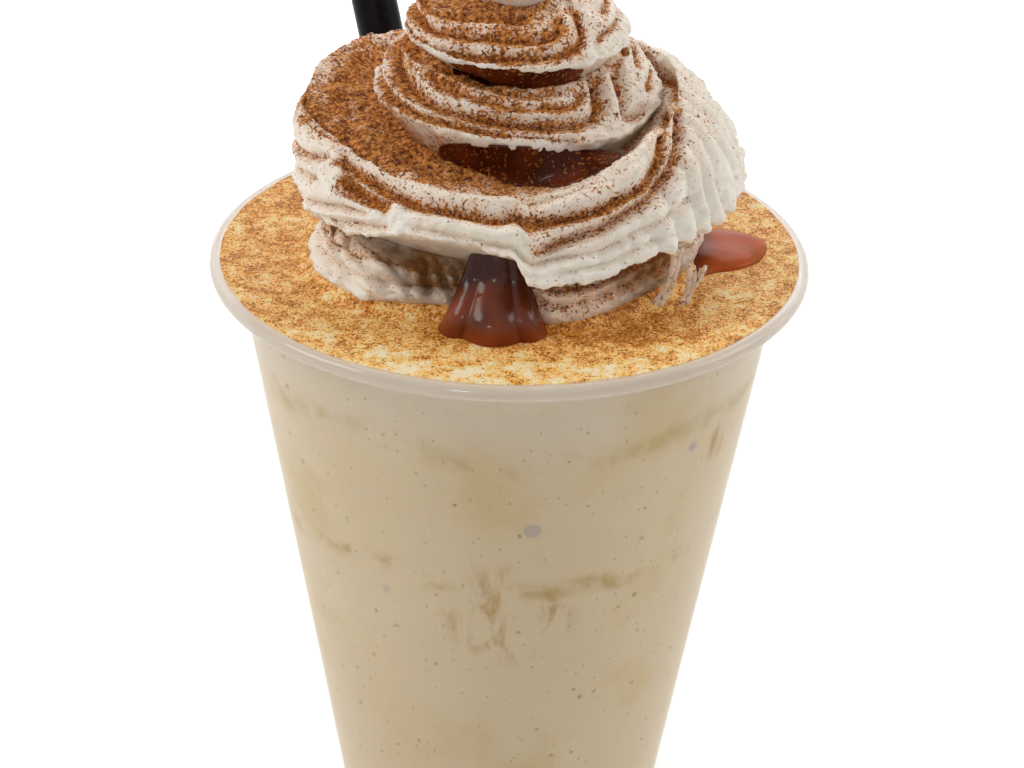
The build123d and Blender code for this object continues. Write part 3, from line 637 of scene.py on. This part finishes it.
def unrolled(angles, across):
    """Places on the rope laid out flat in millimetres: along the rope, and up across it."""
    table_angles = np.arange(ROPE[0, 0], ROPE[-1, 0] + 1, UNROLLED_STEP)
    here = along(ROPE, table_angles)
    above = along(ROPE, table_angles + 360)[:, 4:6]
    travel = np.concatenate([[0], np.cumsum(np.radians(UNROLLED_STEP) * np.maximum(here[1:, 0], 4.0))])
    under = np.linalg.norm(here[:, 0:2] - here[:, 4:6], axis=1)
    face = np.linalg.norm(here[:, 2:4] - here[:, 0:2], axis=1)
    upper = np.linalg.norm(above - here[:, 2:4], axis=1)
    under, face, upper = (np.interp(angles, table_angles, part) for part in (under, face, upper))
    up = np.where(across < 1, (across - 1) * under, (np.minimum(across, 2) - 1) * face)
    up = up + np.maximum(across - 2, 0) * upper
    return np.stack([np.interp(angles, table_angles, travel), up, 0 * up], -1)


def lines_near(flat, lines):
    """For places laid out flat: how deep the nearest line cuts there, how much cinnamon it holds, and
    how near it is."""
    samples, strengths, widths, shares = [], [], [], []
    for depth, width, share, stations in lines:
        stations = np.array(stations, float)
        path = unrolled(stations[:, 0], stations[:, 1])
        length = np.concatenate([[0], np.cumsum(np.linalg.norm(np.diff(path, axis=0), axis=1))])
        marks = np.linspace(0, length[-1], max(int(length[-1] / MARK_STEP), 8))
        track = np.stack([np.interp(marks, length, path[:, n]) for n in range(3)], -1)
        for _ in range(30):
            track[1:-1] = (track[:-2] + 2 * track[1:-1] + track[2:]) / 4
        samples.append(track)
        strengths.append(depth * step_up(np.minimum(marks, length[-1] - marks), 0.0, MARK_FADE))
        widths.append(np.full(len(marks), width))
        shares.append(np.full(len(marks), share))
    samples, strengths = np.vstack(samples), np.concatenate(strengths)
    widths, shares = np.concatenate(widths), np.concatenate(shares)
    tree = kdtree.KDTree(len(samples))
    for n, sample in enumerate(samples):
        tree.insert(sample, n)
    tree.balance()
    found = [tree.find(place)[1:] for place in flat]
    index = np.array([n for n, _ in found])
    gap = np.array([distance for _, distance in found]) / widths[index]
    present = np.minimum(strengths[index], 1)
    held = np.exp(-(gap / 0.9) ** 2) * shares[index] * present
    return strengths[index] * np.exp(-gap ** 1.25), held, np.exp(-(gap / 1.7) ** 2) * present


def new_geometry_tree(name, inputs):
    """An empty tree that takes these named inputs besides a geometry, and the sockets that give them."""
    tree = bpy.data.node_groups.new(name, "GeometryNodeTree")
    for label, kind in [("Geometry", "Geometry")] + inputs:
        tree.interface.new_socket(label, in_out="INPUT", socket_type="NodeSocket" + kind)
    tree.interface.new_socket("Geometry", in_out="OUTPUT", socket_type="NodeSocketGeometry")
    return tree, add(tree, "NodeGroupInput").outputs


def end_geometry_tree(tree, geometry, finish):
    """Ends a tree: instances become plain meshes, and everything gets its material."""
    plain = add(tree, "GeometryNodeRealizeInstances", None, [geometry])
    done = add(tree, "GeometryNodeSetMaterial", None, {0: plain, "Material": finish})
    add(tree, "NodeGroupOutput", None, {"Geometry": done})
    return tree


def piped_relief():
    """The relief kept on a piece, torn edges and rough skin, pushed out along the surface."""
    tree, given = new_geometry_tree("piped_relief", [
        ("Tear size", "Float"), ("Tear depth", "Float"), ("Skin size", "Float"), ("Skin depth", "Float"),
        ("Finish", "Material")])
    place = add(tree, "GeometryNodeInputPosition").outputs[0]
    relief_kept = add(tree, "GeometryNodeInputNamedAttribute", FLOAT, {"Name": "relief"})
    height = add(tree, MATH, MULTIPLY, [relief_kept, MM])
    for size, depth, seed, where in (("Tear size", "Tear depth", 1.0, "torn"),
                                     ("Skin size", "Skin depth", 2.0, "outside")):
        scale = add(tree, MATH, {"operation": "DIVIDE"}, [1.0, given[size]])
        rough = add(tree, NOISE, {"noise_dimensions": "4D"}, {
            "Vector": place, "W": seed, "Scale": scale, "Detail": 3.0, "Roughness": 0.6})
        rough = add(tree, MATH, SUBTRACT, [rough, 0.5])
        rough = add(tree, MATH, MULTIPLY, [rough, given[depth]])
        mask = add(tree, "GeometryNodeInputNamedAttribute", FLOAT, {"Name": where})
        height = add(tree, MATH, MULTIPLY_ADD, [rough, mask, height])
    push = add(tree, "ShaderNodeVectorMath", {"operation": "SCALE"}, {
        0: add(tree, "GeometryNodeInputNormal").outputs[0], "Scale": height})
    moved = add(tree, "GeometryNodeSetPosition", None, {"Geometry": given["Geometry"], "Offset": push})
    return end_geometry_tree(tree, moved, given["Finish"])


def apply_nodes(piece, tree, **values):
    """Runs a tree on a piece with the given inputs, and leaves a plain mesh."""
    modifier = piece.modifiers.new(tree.name, "NODES")
    modifier.node_group = tree
    for item in tree.interface.items_tree:
        if item.in_out == "INPUT" and item.name.replace(" ", "_") in values:
            modifier[item.identifier] = values[item.name.replace(" ", "_")]
    seen_piece = piece.evaluated_get(bpy.context.evaluated_depsgraph_get())
    mesh = bpy.data.meshes.new_from_object(seen_piece)
    piece.modifiers.clear()
    old, piece.data = piece.data, mesh
    mesh.name = piece.name
    bpy.data.meshes.remove(old)


# Whipped cream: white with a warm cast, soft to light, dull with a faint wet sheen on its ridges.
ADD = {"operation": "ADD"}
cream_material, tree = new_material("whipped_cream_dusted")
place = add(tree, "ShaderNodeTexCoord").outputs["Object"]
dust = add(tree, "ShaderNodeAttribute", {"attribute_name": "dusting"}).outputs["Fac"]
soft = add(tree, NOISE, None, {"Vector": place, "Scale": 90.0, "Detail": 3.0})
cream = add(tree, MIX, RGBA, {0: soft, 6: linear("F7EDDD"), 7: linear("FFFAEF")})
soaked_and_shaded_cream = add(tree, "ShaderNodeAttribute", {"attribute_name": "soaked"}).outputs["Fac"]
# The soaked colour is partly painted shade, darkening the cream under the wide turn's overhang.
cream = add(tree, MIX, RGBA, {0: soaked_and_shaded_cream, 6: cream, 7: linear("5E4420")})
clump = add(tree, NOISE, None, {"Vector": place, "Scale": 700.0, "Detail": 2.0, "Roughness": 0.6})
speck = add(tree, NOISE, None, {"Vector": place, "Scale": 2100.0, "Detail": 2.0, "Roughness": 0.6})
mixed = add(tree, MIX, FLOAT, {0: 0.72, 2: clump, 3: speck})
cover = covered(tree, mixed, dust, 0.66, 0.36, -0.02, 0.05)
tint = add(tree, MATH, MULTIPLY, [dust, 0.85])
stained = add(tree, MIX, RGBA, {0: tint, 6: cream, 7: linear("D49A64")})
shade = add(tree, NOISE, None, {"Vector": place, "Scale": 1500.0, "Detail": 2.0})
brown = add(tree, "ShaderNodeValToRGB", None, [shade])
set_stops(brown, [(0.34, "5A2C0E"), (0.5, "A65F22"), (0.66, "DB9246")])
colour = add(tree, MIX, RGBA, {0: cover, 6: stained, 7: brown})
dull = add(tree, RANGE, None, [cover, 0.0, 1.0, 0.42, 0.85])
loose = add(tree, MATH, MULTIPLY, [speck, dust])
loose = add(tree, MATH, ADD, [loose, soft])
airy = add(tree, NOISE, None, {"Vector": place, "Scale": 620.0, "Detail": 3.0, "Roughness": 0.6})
loose = add(tree, MATH, ADD, [loose, airy])
raised = add(tree, "ShaderNodeBump", None, {"Height": loose, "Strength": 0.5, "Distance": 0.0004})
whipped = add(tree, "ShaderNodeBsdfPrincipled", None, {
    "Base Color": colour, "Roughness": dull, "IOR": 1.4,
    "Subsurface Weight": 0.25, "Subsurface Radius": (1.0, 0.85, 0.7), "Subsurface Scale": 0.0015,
    "Normal": raised})
add(tree, "ShaderNodeOutputMaterial", None, {"Surface": whipped})

relief = piped_relief()
cream_pieces = []
for name, first, last, step, count, lumpy in LENGTHS:
    points, angles, across = rope_length(first, last, step, count)
    grid = points.shape[:2]
    spots = points.reshape(-1, 3)
    piece = mesh_piece(name, spots * MM, tube_faces(*grid), [cream_material])
    at = np.broadcast_to(across, grid)
    turned = np.broadcast_to(angles[:, None], grid)
    outside = step_up(at, 0.3, 0.9) * (1 - step_up(at, 2.9, 3.0))
    flat = unrolled(turned.ravel(), at.ravel())
    cut_in, held, beside = (part.reshape(grid) for part in lines_near(flat, GROOVES))
    raised_up = lines_near(flat, CRESTS)[0].reshape(grid)
    uneven, lump, wander, heap, coarse, speckled = (
        cloud(spots, size, seed).reshape(grid)
        for size, seed in ((6.0, 8), (5.0, 12), (7.0, 9), (3.4, 13), (4.0, 6), (1.3, 7)))
    laid = from_table(DUSTING_AND_SHADE, angles, across)
    heaped = step_up(at, 1.9, 2.3) * step_up(laid, 0.55, 0.9) * heap
    relief_height = raised_up - cut_in * (1 + 0.35 * uneven) + lumpy * lump
    relief_height = relief_height + HEAP_HEIGHT * heaped
    for start, stop, low, high, wave, lean, tall in RUFFLES:
        where = (step_up(turned, start - 4, start + 6) * (1 - step_up(turned, stop - 6, stop + 4))
                 * step_up(at, low - 0.2, low + 0.1) * (1 - step_up(at, high - 0.35, high)))
        phase = turned / wave + 0.6 * wander + lean * at
        ruffle = tall * where * (1 + 0.5 * wander) * (np.abs(np.sin(np.pi * phase)) ** 0.8 - 0.6)
        relief_height = relief_height + ruffle
    store(piece, "relief", relief_height * outside)
    store(piece, "torn", step_up(at, 0.5, 0.9) * (1 - step_up(at, 1.15, 1.5)))
    store(piece, "outside", outside)
    apply_nodes(piece, relief, Tear_size=0.0022, Tear_depth=0.0026, Skin_size=0.0012, Skin_depth=0.0012,
                Finish=cream_material)
    # Cinnamon falls from above: most on level places, in the folds, and on the left and front left.
    normals = np.zeros(len(piece.data.vertices) * 3, np.float32)
    piece.data.vertices.foreach_get("normal", normals)
    upward = normals[2::3].reshape(grid)
    patch = coarse + 0.8 * speckled
    ridged = 0.32 * (1 - beside) * step_up(at, 1.0, 1.2) * (1 - step_up(at, 2.1, 2.4))
    settled = laid * (0.55 + 0.45 * step_up(upward, -0.1, 0.8)) * (1 - ridged) + 0.75 * held
    dusting = np.clip(settled + 0.26 * patch * (0.2 + laid) - 0.12 * heaped, 0, 1)
    dusting[:, -2:] = 0.0
    # Painted light and shade: raised relief takes less of the soaked colour, so ridges stay light and the
    # hollows between them dark.
    bare = 0.45 * step_up(relief_height, 0.1, 1.0)
    soaked_and_shade = from_table(SOAKED_AND_SHADE, angles, across) * (1 + 0.4 * patch - bare)
    store(piece, "soaked", np.clip(soaked_and_shade, 0, 1))
    store(piece, "dusting", dusting)
    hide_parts("whipped_cream")
    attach(piece, "root")
    cream_pieces.append(piece)

# Torn strands of the cream at the right front, each split into thin threads: one hangs from the wide
# turn to the drink, and a shorter forked one stands on the drink beside it. Each row is x, y and
# height, and half width.
STRANDS = [
    [(25.0, -21.7, 9.6, 0.60), (24.9, -21.5, 7.2, 0.45), (24.6, -21.4, 4.8, 0.40),
     (24.0, -21.4, 2.8, 0.42), (22.9, -21.6, 1.0, 0.50), (22.1, -21.9, -0.3, 0.40)],
    [(25.9, -21.4, 9.6, 0.50), (25.7, -21.2, 7.2, 0.35), (25.4, -21.1, 4.8, 0.32),
     (24.9, -21.1, 2.8, 0.38), (23.9, -21.4, 1.0, 0.45), (23.3, -21.8, -0.3, 0.40)],
    [(27.4, -20.5, 6.6, 0.22), (27.5, -20.5, 5.2, 0.38), (27.6, -20.4, 3.8, 0.42),
     (27.5, -20.4, 2.2, 0.42), (27.0, -20.6, 0.8, 0.42), (26.5, -20.9, -0.3, 0.35)],
    [(28.2, -20.3, 6.2, 0.20), (28.4, -20.3, 5.0, 0.34), (28.4, -20.2, 3.6, 0.40),
     (28.2, -20.2, 2.0, 0.40), (27.8, -20.5, 0.7, 0.40), (27.4, -20.8, -0.3, 0.35)],
    [(30.0, -20.2, 6.2, 0.22), (29.7, -20.2, 5.0, 0.38), (29.2, -20.2, 3.9, 0.42),
     (28.6, -20.3, 2.6, 0.35)],
    [(29.3, -20.0, 5.6, 0.18), (29.2, -20.0, 4.6, 0.28), (28.9, -20.1, 3.6, 0.30),
     (28.4, -20.2, 2.4, 0.28)],
]
SPIN = 14                # points round a strand
points, faces = [], []
for stations in STRANDS:
    stations = np.array(stations)
    marks = np.linspace(0, len(stations) - 1, 9 * len(stations))
    path = along(np.column_stack([np.arange(len(stations)), stations]), marks)
    heading = np.gradient(path[:, :3], axis=0)
    heading /= np.linalg.norm(heading, axis=1)[:, None]
    side = np.cross(heading, (0.0, 1.0, 0.0))
    side /= np.linalg.norm(side, axis=1)[:, None]
    other = np.cross(heading, side)
    around = np.arange(SPIN) * 2 * math.pi / SPIN
    width = path[:, 3] * (1 + 0.55 * cloud(path[:, :3], 0.8, 16))
    width[[0, -1]] *= 0.3
    ring = (side[:, None] * np.cos(around)[None, :, None]
            + 0.7 * other[:, None] * np.sin(around)[None, :, None])
    rim = path[:, None, :3] + width[:, None, None] * ring
    start = len(points)
    points.extend((rim.reshape(-1, 3) + (0.0, 0.0, CUP_TOP)).tolist())
    faces.extend([[start + n for n in face] for face in tube_faces(len(path), SPIN)])
strands = mesh_piece("whipped_cream_strands", np.array(points) * MM, faces, [cream_material])
store(strands, "dusting", np.full(len(points), 0.28))
store(strands, "soaked", np.full(len(points), 0.0))
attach(strands, "root")

# ---- Caramel sauce ------------------------------------------------------------------------------
# Thick dark caramel, glossy and a little clear where it is thin. It has run down at the front and
# the right side and lies in the folds between the turns.
def caramel_material(name, film_roughness, gloss):
    """Caramel from dark where it is thick to orange where it is thin, with cinnamon on it in places. On
    the front run the same share paints shade: dark at its top, lighter low down.
    """
    made, tree = new_material(name)
    place = add(tree, "ShaderNodeTexCoord").outputs["Object"]
    streak = add(tree, NOISE, None, {"Vector": place, "Scale": 160.0, "Detail": 3.0, "Distortion": 1.0})
    colour = add(tree, MIX, RGBA, {0: streak, 6: linear("260B03"), 7: linear("58200C")})
    thin = add(tree, "ShaderNodeAttribute", {"attribute_name": "thin"}).outputs["Fac"]
    colour = add(tree, MIX, RGBA, {0: thin, 6: colour, 7: linear("C45A22")})
    dust = add(tree, "ShaderNodeAttribute", {"attribute_name": "dusting"}).outputs["Fac"]
    speck = add(tree, NOISE, None, {"Vector": place, "Scale": 1700.0, "Detail": 2.0, "Roughness": 0.6})
    cover = covered(tree, speck, dust, 0.72, 0.42, 0.0, 0.05)
    colour = add(tree, MIX, RGBA, {0: cover, 6: colour, 7: linear("A0602C")})
    wet = add(tree, RANGE, None, [streak, 0.3, 0.7, film_roughness, film_roughness * 1.5])
    film = add(tree, MIX, FLOAT, {0: cover, 2: wet, 3: 0.7})
    flow = add(tree, "ShaderNodeBump", None, {"Height": streak, "Strength": 0.3, "Distance": 0.0006})
    syrup = add(tree, "ShaderNodeBsdfPrincipled", None, {
        "Base Color": colour, "Roughness": film, "IOR": 1.48, "Specular IOR Level": gloss,
        "Subsurface Weight": 0.3, "Subsurface Radius": (1.0, 0.35, 0.12), "Subsurface Scale": 0.0012,
        "Normal": flow})
    add(tree, "ShaderNodeOutputMaterial", None, {"Surface": syrup})
    return made


# The run at the front mirrors the lamps, and the pools between the turns and at the side are duller.
caramel_run = caramel_material("caramel_sauce_run", 0.15, 0.26)
caramel_pool = caramel_material("caramel_sauce_pool", 0.14, 0.10)


def round_end(share):
    """How wide a rounded piece is at this share of its length: 0 at both ends, 1 in the middle."""
    return math.sqrt(max(1 - (2 * share - 1) ** 2, 0.0))


def sauce_piece(name, loops, node, thinness_and_light, dusted, finish):
    """Closed sauce through loops of radius, angle and height, ending in a point at each end."""
    turn = np.radians(loops[..., 1])
    points = np.stack([AXIS_X + loops[..., 0] * np.cos(turn), loops[..., 0] * np.sin(turn),
                       CUP_TOP + loops[..., 2]], -1)
    spots = points.reshape(-1, 3)
    piece = mesh_piece(name, spots * MM, tube_faces(*loops.shape[:2]), [finish])
    store(piece, "thin", np.clip(thinness_and_light + 0.25 * cloud(spots, 4.0, 14), 0, 1))
    store(piece, "dusting", dusted * (1 + 0.6 * cloud(spots, 2.5, 15)))
    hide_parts(node)
    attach(piece, "root")


# The tongue at the front: three rounded runs side by side, widest where they reach the drink.
TONGUE_ANGLE, TONGUE_HALF_WIDTH = -96.0, 16.0     # degrees
TONGUE_ROOT, TONGUE_REACH = 28.0, 36.6            # radius under the cream, and at the foot
TONGUE_BACK, TONGUE_TOP = 26.0, 14.0              # its hidden side, and its height
INTO_DRINK = 0.4
RUN_COUNT, RUN_SHIFT, RUN_DEPTH = 2.15, 0.4, 1.6  # the creases between the runs
loops = []
for a in np.linspace(0, 1, 61):
    edge = round_end(a)
    run = abs(math.sin(math.pi * (a * RUN_COUNT + RUN_SHIFT))) ** 0.7
    front = []
    for b in np.linspace(0, 1, 26):
        narrow = 1 - 0.6 * b ** 0.8
        angle = TONGUE_ANGLE + (2 * a - 1) * TONGUE_HALF_WIDTH * narrow
        slope = 0.45 * math.cos(b * math.pi / 2) ** 0.6 + 0.55 * (1 - float(step_up(b, 0.2, 0.62)))
        out = TONGUE_ROOT + (TONGUE_REACH - TONGUE_ROOT - RUN_DEPTH * (1 - run)) * edge ** 0.6 * slope
        front.append((out, angle, TONGUE_TOP * b - INTO_DRINK))
    back = [(TONGUE_BACK - edge, angle, height) for _, angle, height in front[::-1]]
    loops.append(front + back)
loops = np.array(loops)
# Painted shade: the run is dark at its top, under the cream's overhang, and lighter orange low down.
lit_lower_part = (1 - step_up(loops[..., 2], 2.0, 10.0)).ravel()
sauce_piece("caramel_front_tongue", loops, "sauce_front", 0.50 * lit_lower_part - 0.20, 0.0, caramel_run)

# The puddle at the right: low, with a rounded edge, given as degrees and radius.
PUDDLE = np.array([(-27, 28.0), (-25, 30.4), (-17, 33.8), (-13, 37.4), (-7, 40.3), (2, 41.7), (7, 39.5),
                   (11, 34.9), (14, 30.0)])
PUDDLE_ROOT, PUDDLE_HEIGHT = 25.0, 2.4
loops = []
for a in np.linspace(0, 1, 81):
    edge = round_end(a)
    angle = PUDDLE[0, 0] + (PUDDLE[-1, 0] - PUDDLE[0, 0]) * a
    out = float(along(PUDDLE, np.array([angle]))[0, 0])
    top = [(out - (out - PUDDLE_ROOT) * b, angle,
            -0.3 + PUDDLE_HEIGHT * edge * math.sin(b * math.pi / 2) ** 0.4) for b in np.linspace(0, 1, 30)]
    loops.append(top + [(PUDDLE_ROOT - 0.5, angle, -INTO_DRINK)])
loops = np.array(loops)
spread = step_up(loops[..., 0], 29.0, 34.5).ravel()
brim = (1 - step_up(loops[..., 2], 0.4, 1.3)).ravel()
sauce_piece("caramel_side_puddle", loops, "sauce_side", 0.10 + 0.70 * spread, 0.25 + 0.35 * brim,
            caramel_pool)


def fold_pool(name, edge_stations, under_place, node):
    """Sauce in the fold above one turn of the rope, from an edge on its upper side to the next turn."""
    edge_stations = np.array(edge_stations, float)
    angles = np.linspace(edge_stations[0, 0], edge_stations[-1, 0], 121)
    places = along(edge_stations, angles)[:, 0]
    above = rope_outline(angles + 360, np.array([under_place]))
    loops = []
    for n, angle in enumerate(angles):
        edge = round_end(n / (len(angles) - 1))
        outer, crease = rope_outline(angles[n:n + 1], np.array([places[n], 2.97]))[0]
        wide = crease + (outer - crease) * edge
        high = crease + (above[n, 0] - crease) * edge
        front = []
        for b in np.linspace(0, 1, 26):
            dip = 1.3 * edge * math.sin(b * math.pi) ** 0.8
            front.append((wide[0] + (high[0] - wide[0]) * b - 0.5 * dip, angle,
                          wide[1] + (high[1] - wide[1]) * b ** 1.6 - 0.3 * dip + 0.35))
        loops.append(front + [(crease[0] - 2.0, angle, crease[1] - 0.5), (wide[0], angle, wide[1] - 1.5)])
    sauce_piece(name, np.array(loops), node, 0.05, 0.4, caramel_pool)


# The outer edge of the sauce in each fold, as turning angle and place across the rope.
LOWER_FOLD = [(-130, 2.92), (-107, 2.86), (-98, 2.80), (-89, 2.72), (-81, 2.58), (-72, 2.40), (-65, 2.20),
              (-57, 2.04), (-48, 2.06), (-38, 2.40)]
UPPER_FOLD = [(220, 2.95), (241, 2.85), (255, 2.40), (270, 2.10), (284, 2.00), (300, 1.95), (318, 2.20)]
fold_pool("caramel_lower_fold", LOWER_FOLD, 0.80, "sauce_lower_fold")
fold_pool("caramel_upper_fold", UPPER_FOLD, 0.86, "sauce_upper_fold")

# ---- Ground cinnamon ----------------------------------------------------------------------------
# Loose grains of dry ground bark, from orange to brown, shaken over the cream and the foam. Each is a
# small broken chip, and matt.
GRAIN_SIZE = (0.13, 0.30)    # mm across
GRAINS_PER_SQUARE_MM = 9.0   # where the cinnamon lies thickest


def grain_scatter():
    """Chips laid on a surface where its dusting is thick, turned at random and sized at random."""
    tree, given = new_geometry_tree("grain_scatter", [
        ("Grains per square metre", "Float"), ("Smallest", "Float"), ("Largest", "Float"), ("Seed", "Int"),
        ("Chip", "Object"), ("Finish", "Material")])
    dust = add(tree, "GeometryNodeInputNamedAttribute", FLOAT, {"Name": "dusting"})
    thick = add(tree, MATH, {"operation": "POWER"}, [dust, 1.7])
    density = add(tree, MATH, MULTIPLY, [thick, given["Grains per square metre"]])
    spots = add(tree, "GeometryNodeDistributePointsOnFaces", None, {
        "Mesh": given["Geometry"], "Density": density, "Seed": given["Seed"]})
    chip = add(tree, "GeometryNodeObjectInfo", None, {"Object": given["Chip"]})
    size = add(tree, "FunctionNodeRandomValue", FLOAT, {
        "Min": given["Smallest"], "Max": given["Largest"], "Seed": given["Seed"]})
    tilt = add(tree, "FunctionNodeRandomValue", {"data_type": "FLOAT_VECTOR"}, {
        "Min": (-0.6, -0.6, 0.0), "Max": (0.6, 0.6, 6.28), "Seed": given["Seed"]})
    tilt = add(tree, "FunctionNodeEulerToRotation", None, [tilt])
    turn = add(tree, "FunctionNodeRotateRotation", {"rotation_space": "LOCAL"}, [
        spots.outputs["Rotation"], tilt])
    laid = add(tree, "GeometryNodeInstanceOnPoints", None, {
        "Points": spots, "Instance": chip.outputs["Geometry"], "Rotation": turn, "Scale": size})
    return end_geometry_tree(tree, laid, given["Finish"])


cinnamon, tree = new_material("ground_cinnamon")
place = add(tree, "ShaderNodeTexCoord").outputs["Object"]
kind = add(tree, NOISE, None, {"Vector": place, "Scale": 1500.0, "Detail": 1.0})
spice = add(tree, "ShaderNodeValToRGB", None, [kind])
set_stops(spice, [(0.3, "9A5620"), (0.5, "D68E34"), (0.7, "FFD078")])
broken = add(tree, "ShaderNodeBump", None, {"Height": kind, "Strength": 0.4, "Distance": 0.0001})
bark_rough = add(tree, RANGE, None, [kind, 0.3, 0.7, 0.7, 0.95])
bark = add(tree, "ShaderNodeBsdfPrincipled", None, {
    "Base Color": spice, "Roughness": bark_rough, "IOR": 1.45, "Normal": broken})
add(tree, "ShaderNodeOutputMaterial", None, {"Surface": bark})

CHIP_CORNERS = [(0.5, 0.0, -0.06), (-0.32, 0.42, -0.06), (-0.28, -0.40, -0.06), (-0.04, 0.05, 0.42)]
chip = mesh_piece("chip", CHIP_CORNERS, [(0, 2, 1), (0, 1, 3), (1, 2, 3), (2, 0, 3)], smooth=False)
scatter = grain_scatter()


def joined(name, pieces):
    """One piece made of others, which are removed."""
    points, faces = [], []
    for piece in pieces:
        start = len(points)
        points.extend(tuple(v.co) for v in piece.data.vertices)
        faces.extend(tuple(start + n for n in f.vertices) for f in piece.data.polygons)
        bpy.data.objects.remove(piece)
    return mesh_piece(name, points, faces, [cinnamon], smooth=False)


def sprinkle(name, sources):
    """One piece of grains lying over some pieces, and kept in their slot."""
    layers = []
    for n, source in enumerate(sources):
        layer = source.copy()
        layer.data = source.data.copy()
        bpy.context.scene.collection.objects.link(layer)
        apply_nodes(layer, scatter, Grains_per_square_metre=GRAINS_PER_SQUARE_MM * 1e6,
                    Smallest=GRAIN_SIZE[0] * MM, Largest=GRAIN_SIZE[1] * MM, Seed=n + 11, Chip=chip,
                    Finish=cinnamon)
        layers.append(layer)
    piece = joined(name, layers)
    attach(piece, "root")


store(milkshake, "dusting", soaked)
sprinkle("cinnamon_on_cream", cream_pieces)
sprinkle("cinnamon_on_foam", [milkshake])
bpy.data.objects.remove(chip)
